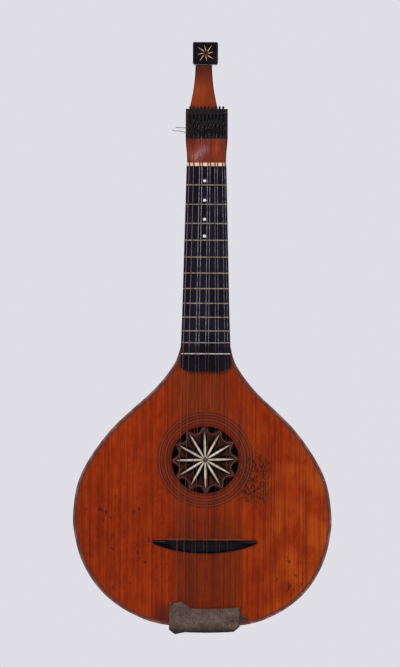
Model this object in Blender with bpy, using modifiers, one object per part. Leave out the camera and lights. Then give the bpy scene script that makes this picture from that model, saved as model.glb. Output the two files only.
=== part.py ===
"""English guitar: pear-shaped body, twelve-fret neck and a ten-screw watch-key tuning machine.

Metres, +Z up, +X towards the treble side, the soundboard facing -Y. The origin is the hanging point
on the head's stem, just under the finial.
"""

import bisect
import math

import bmesh
import bpy
from mathutils import Matrix, Vector

# Clearance between neighbouring pieces
GAP = 0.0003

# Scale and frets
SCALE_LENGTH = 0.420
FRET_CENTS = (89, 186, 287, 381, 481, 581, 684, 788, 892, 1001, 1101, 1200)
FRET_WIDTH = 0.0013
FRET_HEIGHT = 0.0010
FRET_END_INSET = 0.0004

# Head: stem, shoulder and the face that leans back above the nut
HANG_BELOW_FINIAL = 0.0048
HANG_BEHIND_FRONT = 0.0205
STEM_LENGTH = 0.0524
STEM_SIDE_SHIFT = -0.0036
STEM_TOP_WIDTH = 0.0186
STEM_BASE_WIDTH = 0.0344
STEM_THICKNESS = 0.0128
STEM_CHAMFER = 0.0016
STEM_TOP_RETURN = 0.0030
HEAD_LENGTH = 0.0586
HEAD_TILT = math.radians(8)
HEAD_WIDTH = 0.0472
HEAD_WIDTH_AT_NUT = 0.0438
HEAD_FLARE_LENGTH = 0.0260
HEAD_DEPTH = 0.0205
FINIAL_WIDTH = 0.0283
FINIAL_HEIGHT = 0.0252
FINIAL_DEPTH = 0.0210
FINIAL_SIDE_SHIFT = -0.0018
FINIAL_OVERHANG = 0.0045
FINIAL_EDGE_ROUND = 0.0014

# Neck and fingerboard
NECK_DEPTH_AT_NUT = 0.0190
NECK_DEPTH_AT_HEEL = 0.0225
HEEL_LENGTH = 0.0420
JOINT_ABOVE_LAST_FRET = 0.0086
BLOCK_LENGTH = 0.0340
FINGERBOARD_WIDTH_AT_NUT = 0.0446
FINGERBOARD_WIDTH_AT_JOINT = 0.0548
FINGERBOARD_THICKNESS = 0.0050
FINGERBOARD_PAST_LAST_FRET = 0.0158
FINGERBOARD_CUSP_DROP = 0.0021
FINGERBOARD_LOBE_DROP = 0.0030
CAMBER_RADIUS = 0.300
CAPO_HOLE_COUNT = 4
CAPO_HOLE_DIAMETER = 0.0038
CAPO_HOLE_ABOVE_FRET = 0.0048
CAPO_HOLE_SIDE_SHIFT = -0.0019
NUT_THICKNESS = 0.0038
NUT_WIDTH = 0.0436
NUT_ABOVE_BOARD = 0.0029

# Body: half outlines from the neck joint to the widest place, and from there to the tail
JOINT_WIDTH = 0.0558
BODY_WIDTH = 0.2898
WIDEST_BELOW_JOINT = 0.1926
TAIL_BELOW_WIDEST = 0.1220
FLANK = (
    (0.000, 0.000), (0.090, 0.044), (0.190, 0.152), (0.280, 0.283), (0.372, 0.449), (0.465, 0.608),
    (0.558, 0.734), (0.651, 0.837), (0.744, 0.919), (0.850, 0.973), (1.000, 1.000),
)
BOWL = (
    (0.160, 0.988), (0.330, 0.955), (0.477, 0.903), (0.625, 0.824), (0.745, 0.728), (0.845, 0.613),
    (0.918, 0.490), (0.957, 0.398), (0.987, 0.262), (1.000, 0.000),
)
BASS_BULGE = 0.0031
OUTLINE_STEPS = 3
DEPTH_AT_JOINT = 0.0600
DEPTH_AT_TAIL = 0.0760
SOUNDBOARD_THICKNESS = 0.0025
BACK_THICKNESS = 0.0025
RIB_THICKNESS = 0.0020
TAIL_BLOCK_WIDTH = 0.0780
TAIL_BLOCK_THICKNESS = 0.0200
BAR_WIDTH = 0.0070
BAR_HEIGHT = 0.0120
BAR_END_HEIGHT = 0.0045
BAR_END_TAPER = 0.0300
BAR_TO_ROSE = 0.0060
BACK_BAR_BELOW_ROSE = 0.0400

# Rose
ROSE_BELOW_JOINT = 0.1275
SOUND_HOLE_RADIUS = 0.0378
ROSE_RIM_WIDTH = 0.0042
ROSE_THICKNESS = 0.0016
ROSE_RAYS = 12
ROSE_TURN = math.radians(2)
RAY_LENGTH = 0.0310
RAY_WIDTH = 0.0029
RAY_WIDEST_AT = 0.0110
RAY_THICKNESS = 0.0008
RAY_HUB_RADIUS = 0.0032
RAY_RAIL_WIDTH = 0.0024
LUNETTE_DEPTH = 0.0075
LUNETTE_HALF_ANGLE = math.radians(12)
TRACERY_BAND = 0.0016
LEAF_LENGTH = 0.0115
TREFOIL_RADIUS = 0.0009

# Bridge and tail
BRIDGE_LENGTH = 0.1164
BRIDGE_HEIGHT = 0.0115
BRIDGE_BELLY = 0.0149
BRIDGE_TIP_BLUNTNESS = 0.0045
BRIDGE_CROWN_WIDTH = 0.0020
BRIDGE_CROWN_BELOW_EDGE = 0.0014
BRIDGE_END_FALL = 0.0030
BRIDGE_LEVEL_WIDTH = 0.0660
SADDLE_WIDTH = 0.0720
SADDLE_LENGTH = 0.0042
SADDLE_PROUD = 0.0016
PIN_DIAMETER = 0.0024
PIN_STANDS_OUT = 0.0042
PIN_FIRST_ROW = 0.0130
PIN_ROW_SPACING = 0.0055

# Strings: (place at the nut, place at the bridge, strings in the course, diameter)
COURSES = (
    (-0.0192, -0.0310, 1, 0.00080),
    (-0.0144, -0.0230, 1, 0.00064),
    (-0.0064, -0.0123, 2, 0.00050),
    (0.0026, 0.0005, 2, 0.00042),
    (0.0106, 0.0146, 2, 0.00034),
    (0.0190, 0.0274, 2, 0.00030),
)
PAIR_AT_NUT = 0.0028
PAIR_AT_BRIDGE = 0.0038
STRING_LOOP_LEG = 0.0026

# Tuning machine
MACHINE_HEIGHT = 0.0312
PLATE_WIDTH = 0.0412
PLATE_THICKNESS = 0.0015
PLATE_PROUD = 0.0012
FLANGE_THICKNESS = 0.0018
RECESS_DEPTH = 0.0075
SCREW_PITCH_ACROSS = 0.00412
SCREW_DIAMETER = 0.0018
SCREW_BEHIND_FACE = 0.0040
SCREW_HEAD_SIZE = 0.0024
SCREW_HEAD_HEIGHT = 0.0034
SCREW_COLLAR_DIAMETER = 0.0028
SCREW_COLLAR_HEIGHT = 0.0010
SLOT_WIDTH = 0.0017
SLOT_TOP = 0.0040
SLOT_LENGTH = 0.0246
HOOK_BLOCK_WIDTH = 0.0035
HOOK_BLOCK_DEPTH = 0.0044
HOOK_BLOCK_HEIGHT = 0.0040
HOOK_HEIGHT = 0.0030
HOOK_REACH = 0.0046
HOOK_TIP_RISE = 0.0014
HOOK_TIP_THICKNESS = 0.0010
HOOK_CROOK_WIDTH = 0.0016
HOOK_SETTINGS = (0.0185, 0.0138, 0.0148, 0.0165, 0.0152, 0.0136, 0.0144, 0.0138, 0.0150, 0.0162)

# String cover: a strip of cloth over the string ends at the tail
COVER_WIDTH = 0.0784
COVER_THICKNESS = 0.0016
COVER_ON_SOUNDBOARD = 0.0206
COVER_ON_RIBS = 0.0300
COVER_BULGE = 0.0059
COVER_EDGE_SLOPE = 0.0068
COVER_FOLD_RISE = 0.0068
COVER_FOLD_WIDTH = 0.0240
COVER_COLUMNS = 24

# Facets of round pieces
RING_STEPS = 16
TAIL_BLOCK_STEPS = 8
HOLE_SIDES = 12

# Places that follow from the sizes above
FRONT = -HANG_BEHIND_FRONT
SHOULDER_Z = HANG_BELOW_FINIAL - STEM_LENGTH
NUT_TOP_Z = SHOULDER_Z - HEAD_LENGTH
NUT_Z = NUT_TOP_Z - NUT_THICKNESS
BRIDGE_Z = NUT_Z - SCALE_LENGTH


def fret_z(number):
    """Height of a fret, counted from 1 at the nut end."""
    return NUT_Z - SCALE_LENGTH * (1 - 2 ** (-FRET_CENTS[number - 1] / 1200))


LAST_FRET_Z = fret_z(len(FRET_CENTS))
JOINT_Z = LAST_FRET_Z + JOINT_ABOVE_LAST_FRET
BODY_TOP_Z = JOINT_Z - GAP
WIDEST_Z = JOINT_Z - WIDEST_BELOW_JOINT
TAIL_Z = WIDEST_Z - TAIL_BELOW_WIDEST
ROSE_Z = JOINT_Z - ROSE_BELOW_JOINT
BOARD_END_Z = LAST_FRET_Z - FINGERBOARD_PAST_LAST_FRET
BOARD_FACE = GAP + FINGERBOARD_THICKNESS


def camber(x):
    """How far the cambered surfaces fall away from their centre line."""
    return CAMBER_RADIUS - math.sqrt(CAMBER_RADIUS ** 2 - x ** 2)


def back_depth(z):
    """Depth of the back's outer face behind the soundboard's face: the body deepens to the tail."""
    share = (JOINT_Z - z) / (JOINT_Z - TAIL_Z)
    return DEPTH_AT_JOINT + (DEPTH_AT_TAIL - DEPTH_AT_JOINT) * share


def head_face(z):
    """Depth of the head's leaning front face."""
    return (z - NUT_TOP_Z) * math.tan(HEAD_TILT)


def board_half_width(z):
    """Half width of the fingerboard, and of the neck under it."""
    share = (NUT_Z - z) / (NUT_Z - JOINT_Z)
    width = FINGERBOARD_WIDTH_AT_NUT + (FINGERBOARD_WIDTH_AT_JOINT - FINGERBOARD_WIDTH_AT_NUT) * share
    return width / 2


def smooth_curve(points, steps):
    """Catmull-Rom curve through 2D points, with the given number of steps between two of them."""
    curve = []
    padded = [points[0], *points, points[-1]]
    for before, start, end, after in zip(padded, padded[1:], padded[2:], padded[3:]):
        for step in range(steps):
            t = step / steps
            curve.append(tuple(
                0.5 * (2 * b + (c - a) * t + (2 * a - 5 * b + 4 * c - d) * t ** 2
                       + (3 * b - a - 3 * c + d) * t ** 3)
                for a, b, c, d in zip(before, start, end, after)
            ))
    curve.append(points[-1])
    return curve


def body_outline():
    """Points (x, z) from the bass side of the neck joint round the tail to the treble side."""
    neck, widest = JOINT_WIDTH / 2, BODY_WIDTH / 2
    half = [(neck + (widest - neck) * out, BODY_TOP_Z + (WIDEST_Z - BODY_TOP_Z) * down) for down, out in FLANK]
    half += [(widest * out, WIDEST_Z + (TAIL_Z - WIDEST_Z) * down) for down, out in BOWL]
    whole = [(-x, z) for x, z in half[:-1]] + half[::-1]
    outline = []
    for x, z in smooth_curve(whole, OUTLINE_STEPS):
        share = (BODY_TOP_Z - z) / (BODY_TOP_Z - TAIL_Z)
        outline.append((x - BASS_BULGE * math.sin(math.pi * min(max(share, 0), 1)), z))
    return outline


OUTLINE = body_outline()
TAIL_INDEX = len(OUTLINE) // 2


def inset(points, distance):
    """The outline moved inwards, towards the middle of the body."""
    moved = []
    for index, (x, z) in enumerate(points):
        before = points[max(index - 1, 0)]
        after = points[min(index + 1, len(points) - 1)]
        along = Vector((after[0] - before[0], after[1] - before[1])).normalized()
        moved.append((x - along.y * distance, z + along.x * distance))
    return moved


def tail_height(x, inwards=0.0):
    """Height of the outline near the tail, or of a line inside it, at a place across it."""
    spread = [point for point in inset(OUTLINE, inwards) if point[1] < WIDEST_Z]
    index = min(max(bisect.bisect([point[0] for point in spread], x), 1), len(spread) - 1)
    (x0, z0), (x1, z1) = spread[index - 1], spread[index]
    return z0 + (z1 - z0) * (x - x0) / (x1 - x0)


def side_place(z, side, inwards=0.0):
    """Place across the body, at a height, on the bass (-1) or treble (1) outline or inside it."""
    outline = inset(OUTLINE, inwards)
    half = outline[:TAIL_INDEX + 1] if side < 0 else outline[:TAIL_INDEX - 1:-1]
    index = min(max(bisect.bisect([-point[1] for point in half], -z), 1), len(half) - 1)
    (x0, z0), (x1, z1) = half[index - 1], half[index]
    return x0 + (x1 - x0) * (z - z0) / (z1 - z0)


def strings_across():
    """One (place at the nut, place at the bridge, diameter) for each string, bass first."""
    strings = []
    for nut_x, bridge_x, count, diameter in COURSES:
        for number in range(count):
            side = number - (count - 1) / 2
            strings.append((nut_x + side * PAIR_AT_NUT, bridge_x + side * PAIR_AT_BRIDGE, diameter))
    return strings


STRINGS = strings_across()
MACHINE_MATRIX = (
    Matrix.Translation((0, FRONT + head_face(SHOULDER_Z), SHOULDER_Z)) @ Matrix.Rotation(-HEAD_TILT, 4, "X")
)


def screw_x(index):
    """Place of a tuning screw across the machine."""
    return (index - (len(STRINGS) - 1) / 2) * SCREW_PITCH_ACROSS


for old in list(bpy.data.objects):
    bpy.data.objects.remove(old, do_unlink=True)
parts = bpy.data.collections.new("english_guitar")
cutters = bpy.data.collections.new("cutters")
bpy.context.scene.collection.children.link(parts)
bpy.context.scene.collection.children.link(cutters)


def finish(name, colour, roughness, metallic=0.0):
    """A plain material for one sub-part."""
    material = bpy.data.materials.new(name)
    material.use_nodes = True
    shader = material.node_tree.nodes["Principled BSDF"]
    shader.inputs["Base Color"].default_value = (*colour, 1)
    shader.inputs["Roughness"].default_value = roughness
    shader.inputs["Metallic"].default_value = metallic
    return material


SPRUCE = ((0.42, 0.10, 0.03), 0.3)
MAPLE = ((0.30, 0.09, 0.03), 0.3)
EBONY = ((0.012, 0.010, 0.014), 0.3)
IVORY = ((0.75, 0.66, 0.50), 0.4)
TRACERY_WOOD = ((0.11, 0.03, 0.02), 0.5)
BARE_WOOD = ((0.45, 0.28, 0.14), 0.7)
BRASS = ((0.55, 0.42, 0.22), 0.35, 1.0)
IRON = ((0.03, 0.03, 0.035), 0.45, 1.0)
WIRE = ((0.45, 0.43, 0.42), 0.35, 1.0)
CLOTH = ((0.16, 0.13, 0.11), 0.9)


def add_object(name, data, look):
    """Link a mesh or curve to the parts under its sub-part's name."""
    part = bpy.data.objects.new(name, data)
    parts.objects.link(part)
    data.materials.clear()
    data.materials.append(finish(name, *look))
    return part


def mesh_from(bm, name):
    """A mesh from a bmesh, with its faces pointing out."""
    bmesh.ops.recalc_face_normals(bm, faces=bm.faces)
    mesh = bpy.data.meshes.new(name)
    bm.to_mesh(mesh)
    bm.free()
    return mesh


def loft(name, rings):
    """A closed mesh through rings of equally many points."""
    bm = bmesh.new()
    loops = [[bm.verts.new(point) for point in ring] for ring in rings]
    count = len(loops[0])
    for lower, upper in zip(loops, loops[1:]):
        for index in range(count):
            following = (index + 1) % count
            bm.faces.new((lower[index], lower[following], upper[following], upper[index]))
    bm.faces.new(loops[0][::-1])
    bm.faces.new(loops[-1])
    return mesh_from(bm, name)


def box_mesh(name, low, high):
    """A box between two corners."""
    bm = bmesh.new()
    bmesh.ops.create_cube(bm, size=1)
    size = Vector(high) - Vector(low)
    middle = (Vector(high) + Vector(low)) / 2
    bmesh.ops.scale(bm, vec=size, verts=bm.verts)
    bmesh.ops.translate(bm, vec=middle, verts=bm.verts)
    return mesh_from(bm, name)


def add_cylinder(bm, radius, bottom, top, place, sides=HOLE_SIDES):
    """A cylinder along Z in a bmesh, at a place (x, y)."""
    matrix = Matrix.Translation((place[0], place[1], (bottom + top) / 2))
    bmesh.ops.create_cone(
        bm, cap_ends=True, segments=sides, radius1=radius, radius2=radius, depth=top - bottom, matrix=matrix
    )


def add_cutter(name, mesh, matrix=None):
    """A hidden cutting shape."""
    cutter = bpy.data.objects.new(name, mesh)
    cutters.objects.link(cutter)
    cutter.hide_render = True
    cutter.display_type = "WIRE"
    if matrix is not None:
        cutter.matrix_world = matrix
    return cutter


def combine(part, other, operation):
    """Cut a part with another object, or join that object to it."""
    modifier = part.modifiers.new(other.name, "BOOLEAN")
    modifier.object = other
    modifier.operation = operation
    modifier.solver = "EXACT"


def smooth(mesh, angle=40):
    """Round faces shaded smooth, with edges over the angle kept sharp."""
    mesh.shade_smooth()
    mesh.set_sharp_from_angle(angle=math.radians(angle))


def plate_curve(name, outlines, thickness, depth):
    """A flat plate that faces front: outlines are points (x, z), and those inside the first are holes."""
    curve = bpy.data.curves.new(name, "CURVE")
    curve.dimensions = "2D"
    curve.fill_mode = "BOTH"
    curve.extrude = thickness / 2
    curve.render_resolution_u = 0
    for outline in outlines:
        spline = curve.splines.new("POLY")
        spline.points.add(len(outline) - 1)
        spline.use_cyclic_u = True
        for point, (x, z) in zip(spline.points, outline):
            point.co = (x, z, 0, 1)
    matrix = Matrix.Translation((0, FRONT + depth + thickness / 2, 0)) @ Matrix.Rotation(math.pi / 2, 4, "X")
    return curve, matrix


def as_mesh(curve, matrix):
    """The welded mesh of a curve, in world space."""
    holder = bpy.data.objects.new(curve.name, curve)
    bpy.context.scene.collection.objects.link(holder)
    evaluated = holder.evaluated_get(bpy.context.evaluated_depsgraph_get())
    mesh = bpy.data.meshes.new_from_object(evaluated)
    bm = bmesh.new()
    bm.from_mesh(mesh)
    bmesh.ops.remove_doubles(bm, verts=bm.verts, dist=0.00001)
    bmesh.ops.transform(bm, matrix=matrix, verts=bm.verts)
    bpy.data.objects.remove(holder)
    bpy.data.meshes.remove(mesh)
    return bm


def plate(name, outlines, thickness, depth, look):
    """A flat plate as a mesh object."""
    curve, matrix = plate_curve(name, outlines, thickness, depth)
    mesh = mesh_from(as_mesh(curve, matrix), name)
    bpy.data.curves.remove(curve)
    return add_object(name, mesh, look)


def circle(radius, centre, sides, turn=0.0):
    """Points (x, z) round a centre."""
    return [
        (centre[0] + radius * math.cos(turn + 2 * math.pi * step / sides),
         centre[1] + radius * math.sin(turn + 2 * math.pi * step / sides))
        for step in range(sides)
    ]


def make_soundboard():
    """Spruce soundboard with its round sound hole, notched at the tail for the saddle."""
    hole = circle(SOUND_HOLE_RADIUS, (0, ROSE_Z), 48)
    board = plate("soundboard", [OUTLINE, hole], SOUNDBOARD_THICKNESS, 0, SPRUCE)
    half = SADDLE_WIDTH / 2 + GAP
    notch = box_mesh(
        "saddle_notch",
        (-half, FRONT - SOUNDBOARD_THICKNESS, TAIL_Z - SADDLE_LENGTH),
        (half, FRONT + SOUNDBOARD_THICKNESS * 2, TAIL_Z + SADDLE_LENGTH + GAP),
    )
    combine(board, add_cutter("saddle_notch", notch), "DIFFERENCE")


def make_back():
    """Flat back, which leans away from the soundboard towards the tail."""
    curve, matrix = plate_curve("back_board", [OUTLINE], BACK_THICKNESS, -BACK_THICKNESS)
    bm = as_mesh(curve, matrix)
    bpy.data.curves.remove(curve)
    for vert in bm.verts:
        vert.co.y += back_depth(vert.co.z)
    add_object("back_board", mesh_from(bm, "back_board"), MAPLE)


def make_rib(name, points):
    """Bent rib between the soundboard and the back."""
    bm = bmesh.new()
    rails = []
    for x, z in points:
        front = FRONT + SOUNDBOARD_THICKNESS + GAP
        rear = FRONT + back_depth(z) - BACK_THICKNESS - GAP
        rails.append((bm.verts.new((x, front, z)), bm.verts.new((x, rear, z))))
    for (front0, rear0), (front1, rear1) in zip(rails, rails[1:]):
        bm.faces.new((front0, rear0, rear1, front1))
    mesh = bpy.data.meshes.new(name)
    bm.to_mesh(mesh)
    bm.free()
    smooth(mesh)
    rib = add_object(name, mesh, MAPLE)
    wall = rib.modifiers.new("wall", "SOLIDIFY")
    wall.thickness = RIB_THICKNESS
    wall.offset = -1
    wall.use_even_offset = True
    return rib


def make_ribs():
    """Two ribs that meet at the tail, drilled for the hitch pins."""
    seam_z = tail_height(0)
    bass = [point for point in OUTLINE[:TAIL_INDEX + 1] if point[0] < -GAP] + [(-GAP / 2, seam_z)]
    treble = [point for point in OUTLINE[:TAIL_INDEX - 1:-1] if point[0] > GAP] + [(GAP / 2, seam_z)]
    ribs = [make_rib("rib_bass", bass), make_rib("rib_treble", treble[::-1])]
    bm = bmesh.new()
    for x, y in pin_places():
        add_cylinder(
            bm, PIN_DIAMETER / 2 + GAP, TAIL_Z - PIN_STANDS_OUT, TAIL_Z + TAIL_BLOCK_THICKNESS / 2, (x, FRONT + y)
        )
    drill = add_cutter("pin_drill", mesh_from(bm, "pin_drill"))
    for rib in ribs:
        combine(rib, drill, "DIFFERENCE")


def pin_places():
    """Places (x, depth) of the hitch pins, the second string of a pair in the row behind."""
    places = []
    for _, bridge_x, count, _ in COURSES:
        for number in range(count):
            x = bridge_x + (number - (count - 1) / 2) * PAIR_AT_BRIDGE
            places.append((x, PIN_FIRST_ROW + number * PIN_ROW_SPACING))
    return places


def make_tail_block():
    """Block that joins the ribs at the tail, with the hitch pins standing out of it through them."""
    half = TAIL_BLOCK_WIDTH / 2
    across = [half * (step / TAIL_BLOCK_STEPS - 1) for step in range(2 * TAIL_BLOCK_STEPS + 1)]
    outer = [(x, tail_height(x, RIB_THICKNESS + GAP)) for x in across]
    inner_z = TAIL_Z + RIB_THICKNESS + TAIL_BLOCK_THICKNESS
    outline = [(-half, inner_z), *outer, (half, inner_z)]
    depth = SOUNDBOARD_THICKNESS + GAP
    thickness = back_depth(inner_z) - BACK_THICKNESS - GAP - depth
    block = plate("tail_block", [outline], thickness, depth, BARE_WOOD)
    bm = bmesh.new()
    for x, y in pin_places():
        add_cylinder(
            bm, PIN_DIAMETER / 2, tail_height(x) - PIN_STANDS_OUT, TAIL_Z + TAIL_BLOCK_THICKNESS / 2,
            (x, FRONT + y), 10
        )
    combine(block, add_cutter("hitch_pins", mesh_from(bm, "hitch_pins")), "UNION")


def make_bar(name, z, depth, inwards):
    """Bar across the inside of the soundboard (inwards 1) or of the back (inwards -1)."""
    reach = RIB_THICKNESS + GAP * 2
    edges = (z - BAR_WIDTH / 2, z + BAR_WIDTH / 2)
    left = max(side_place(edge, -1, reach) for edge in edges)
    right = min(side_place(edge, 1, reach) for edge in edges)
    rise = [(left, 0), (right, 0), (right, BAR_END_HEIGHT), (right - BAR_END_TAPER, BAR_HEIGHT),
            (left + BAR_END_TAPER, BAR_HEIGHT), (left, BAR_END_HEIGHT)]
    rings = []
    for height in edges:
        rings.append([(x, FRONT + depth(height) + inwards * y, height) for x, y in rise])
    add_object(name, loft(name, rings), BARE_WOOD)


def make_bars():
    """Two bars beside the rose and one on the back."""
    def under_soundboard(_):
        return SOUNDBOARD_THICKNESS + GAP

    def on_back(z):
        return back_depth(z) - BACK_THICKNESS - GAP

    to_bar = SOUND_HOLE_RADIUS + ROSE_RIM_WIDTH + BAR_TO_ROSE + BAR_WIDTH / 2
    make_bar("upper_bar", ROSE_Z + to_bar, under_soundboard, 1)
    make_bar("lower_bar", ROSE_Z - to_bar, under_soundboard, 1)
    make_bar("back_bar", ROSE_Z - BACK_BAR_BELOW_ROSE, on_back, -1)


def neck_ring(z, half, front, depth, power, chamfer, shift=0.0, lean=0.0):
    """D-shaped section: flat in front with chamfered corners, round behind, lower behind by its lean."""
    flat = [(-half + chamfer, 0), (half - chamfer, 0)]
    arc = []
    for step in range(RING_STEPS + 1):
        angle = math.pi * step / RING_STEPS
        across = math.copysign(abs(math.cos(angle)) ** (2 / power), math.cos(angle))
        behind = abs(math.sin(angle)) ** (2 / power)
        arc.append((half * across, chamfer + (depth - chamfer) * behind))
    return [
        (x + shift, FRONT + front + y, z - y * math.tan(lean))
        for x, y in flat + arc
    ]


def stem_rings():
    """Stem from the finial down to the shoulder: it widens in a hollow curve and stands up straight."""
    top_front = head_face(SHOULDER_Z) + HEAD_DEPTH - STEM_THICKNESS + STEM_TOP_RETURN
    top_z = HANG_BELOW_FINIAL - GAP
    rings = []
    for share in (0.0, 0.15, 0.3, 0.45, 0.6, 0.75, 0.88, 1.0):
        z = top_z + (SHOULDER_Z - top_z) * share
        half = (STEM_TOP_WIDTH + (STEM_BASE_WIDTH - STEM_TOP_WIDTH) * share ** 1.9) / 2
        front = top_front + STEM_TOP_RETURN * (math.sin(math.pi * share) * 0.35 - 1 + share)
        lean = HEAD_TILT * share
        z -= (front - head_face(SHOULDER_Z)) * math.tan(lean)
        rings.append(neck_ring(z, half, front, STEM_THICKNESS - STEM_TOP_RETURN * share, 3.2, STEM_CHAMFER,
                               STEM_SIDE_SHIFT, lean))
    return rings


def head_rings():
    """Head from the shoulder down to the nut, its face leaning back."""
    edge = 0.0005
    rings = []
    bottom_z = NUT_TOP_Z + HEAD_FLARE_LENGTH
    flare = HEAD_WIDTH - HEAD_WIDTH_AT_NUT
    for z, widening in ((SHOULDER_Z, 1), (bottom_z, 1), (NUT_TOP_Z + HEAD_FLARE_LENGTH * 0.75, 0.7),
                        (NUT_TOP_Z + HEAD_FLARE_LENGTH * 0.45, 0.2), (NUT_TOP_Z + HEAD_FLARE_LENGTH * 0.15, 0)):
        share = (z - NUT_TOP_Z) / HEAD_LENGTH
        depth = NECK_DEPTH_AT_NUT + (HEAD_DEPTH - NECK_DEPTH_AT_NUT) * share
        half = (HEAD_WIDTH_AT_NUT + flare * widening) / 2
        rings.append(neck_ring(z, half, head_face(z), depth, 3.6 - 1.2 * (1 - share), edge, lean=HEAD_TILT * share))
    return rings


def shaft_rings():
    """Neck from the nut to the heel, which sweeps back to the full depth of the body."""
    edge = 0.0005
    rings = [neck_ring(NUT_TOP_Z, HEAD_WIDTH_AT_NUT / 2, 0, NECK_DEPTH_AT_NUT, 2.2, edge)]
    heel_z = JOINT_Z + HEEL_LENGTH
    for z in (NUT_Z, (NUT_Z + heel_z) / 2, heel_z):
        share = (NUT_Z - z) / (NUT_Z - heel_z)
        depth = NECK_DEPTH_AT_NUT + (NECK_DEPTH_AT_HEEL - NECK_DEPTH_AT_NUT) * share
        rings.append(neck_ring(z, board_half_width(z), 0, depth, 2.2, edge))
    for share in (0.2, 0.4, 0.55, 0.7, 0.8, 0.9, 0.96, 1.0):
        z = heel_z + (JOINT_Z - heel_z) * share
        depth = NECK_DEPTH_AT_HEEL + (back_depth(JOINT_Z) - NECK_DEPTH_AT_HEEL) * share ** 2.8
        half = board_half_width(z) + (JOINT_WIDTH / 2 - board_half_width(JOINT_Z)) * share ** 2
        rings.append(neck_ring(z, half, 0, depth, 2.2 + 1.6 * share, edge))
    return rings


def block_rings():
    """Neck block inside the body, between the ribs."""
    half = JOINT_WIDTH / 2 - RIB_THICKNESS - GAP
    front = SOUNDBOARD_THICKNESS + GAP
    rings = []
    for z in (JOINT_Z, JOINT_Z - BLOCK_LENGTH):
        depth = back_depth(z) - BACK_THICKNESS - GAP * 2 - front
        rings.append(neck_ring(z, half, front, depth, 14, 0.0005))
    return rings


def capo_holes():
    """Places (x, z) of the capo bolt holes, each just above its fret."""
    return [(CAPO_HOLE_SIDE_SHIFT, fret_z(number + 1) + CAPO_HOLE_ABOVE_FRET) for number in range(CAPO_HOLE_COUNT)]


def capo_drill():
    """Cutter for the capo bolt holes, right through the fingerboard and the neck."""
    bm = bmesh.new()
    for x, z in capo_holes():
        add_cylinder(bm, CAPO_HOLE_DIAMETER / 2, -NECK_DEPTH_AT_HEEL * 2, FINGERBOARD_THICKNESS * 2, (x, z))
    return add_cutter(
        "capo_drill", mesh_from(bm, "capo_drill"), Matrix.Translation((0, FRONT, 0)) @ Matrix.Rotation(math.pi / 2, 4, "X")
    )


def make_neck(drill):
    """One length of maple: stem, head with the machine's recess, neck, heel and block."""
    rings = stem_rings() + head_rings() + shaft_rings() + block_rings()
    mesh = loft("neck", rings)
    smooth(mesh, 32)
    neck = add_object("neck", mesh, MAPLE)
    half = PLATE_WIDTH / 2 + GAP
    recess = box_mesh("machine_recess", (-half, -RECESS_DEPTH, -MACHINE_HEIGHT - GAP), (half, RECESS_DEPTH, GAP * 3))
    combine(neck, add_cutter("machine_recess", recess, MACHINE_MATRIX), "DIFFERENCE")
    combine(neck, drill, "DIFFERENCE")


def board_end_z(x, half):
    """Lower end of the fingerboard: two lobes that meet in a cusp."""
    share = x / half
    return (BOARD_END_Z - FINGERBOARD_CUSP_DROP * (1 - share ** 2)
            - FINGERBOARD_LOBE_DROP * abs(math.sin(math.pi * share)))


def make_fingerboard(drill):
    """Cambered black fingerboard, drilled for the capo bolt."""
    columns = 20
    half_end = board_half_width(BOARD_END_Z)
    straight_z = LAST_FRET_Z - FINGERBOARD_PAST_LAST_FRET / 2
    rings = []
    for z in (NUT_Z - GAP, straight_z, None):
        half = half_end if z is None else board_half_width(z)
        across = [half * (2 * step / columns - 1) for step in range(columns + 1)]
        height = [board_end_z(x, half) if z is None else z for x in across]
        face = [(x, FRONT - BOARD_FACE + camber(x), level) for x, level in zip(across, height)]
        under = [(x, FRONT - GAP, level) for x, level in zip(across, height)]
        rings.append(face + under[::-1])
    mesh = loft("fingerboard", rings)
    smooth(mesh, 30)
    combine(add_object("fingerboard", mesh, EBONY), drill, "DIFFERENCE")


def make_frets():
    """Brass frets bent to the camber of the fingerboard."""
    columns = 8
    for number in range(1, len(FRET_CENTS) + 1):
        z = fret_z(number)
        half = board_half_width(z) - FRET_END_INSET
        rings = []
        for step in range(columns + 1):
            x = half * (2 * step / columns - 1)
            foot = FRONT - BOARD_FACE + camber(x) - GAP
            crown = foot + GAP - FRET_HEIGHT
            rings.append([
                (x, foot, z + FRET_WIDTH / 2), (x, foot, z - FRET_WIDTH / 2),
                (x, (foot + crown) / 2, z - FRET_WIDTH / 2), (x, crown, z - FRET_WIDTH / 5),
                (x, crown, z + FRET_WIDTH / 5), (x, (foot + crown) / 2, z + FRET_WIDTH / 2),
            ])
        name = f"fret_{number:02d}"
        add_object(name, loft(name, rings), BRASS)


def nut_crown(x):
    """Depth of the nut's crown in front of the soundboard's face, as a negative number."""
    return -BOARD_FACE - NUT_ABOVE_BOARD + camber(x)


def make_nut():
    """Ivory nut with a notch for each string."""
    half = NUT_WIDTH / 2
    profile = [(-half, -GAP), (-half, nut_crown(half))]
    for x, _, diameter in STRINGS:
        wide, floor = diameter / 2 + GAP, nut_crown(x) + diameter + GAP
        profile += [(x - wide, nut_crown(x - wide)), (x - wide, floor), (x + wide, floor), (x + wide, nut_crown(x + wide))]
    profile += [(half, nut_crown(half)), (half, -GAP)]
    rings = [[(x, FRONT + y, z) for x, y in profile] for z in (NUT_Z, NUT_TOP_Z)]
    add_object("nut", loft("nut", rings), IVORY)


def bridge_crown(x):
    """Height of the bridge: it follows the camber under the strings and falls away at its ends."""
    past = max(abs(x) - BRIDGE_LEVEL_WIDTH / 2, 0) / (BRIDGE_LENGTH / 2 - BRIDGE_LEVEL_WIDTH / 2)
    return BRIDGE_HEIGHT - camber(x) - BRIDGE_END_FALL * past ** 2


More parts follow.
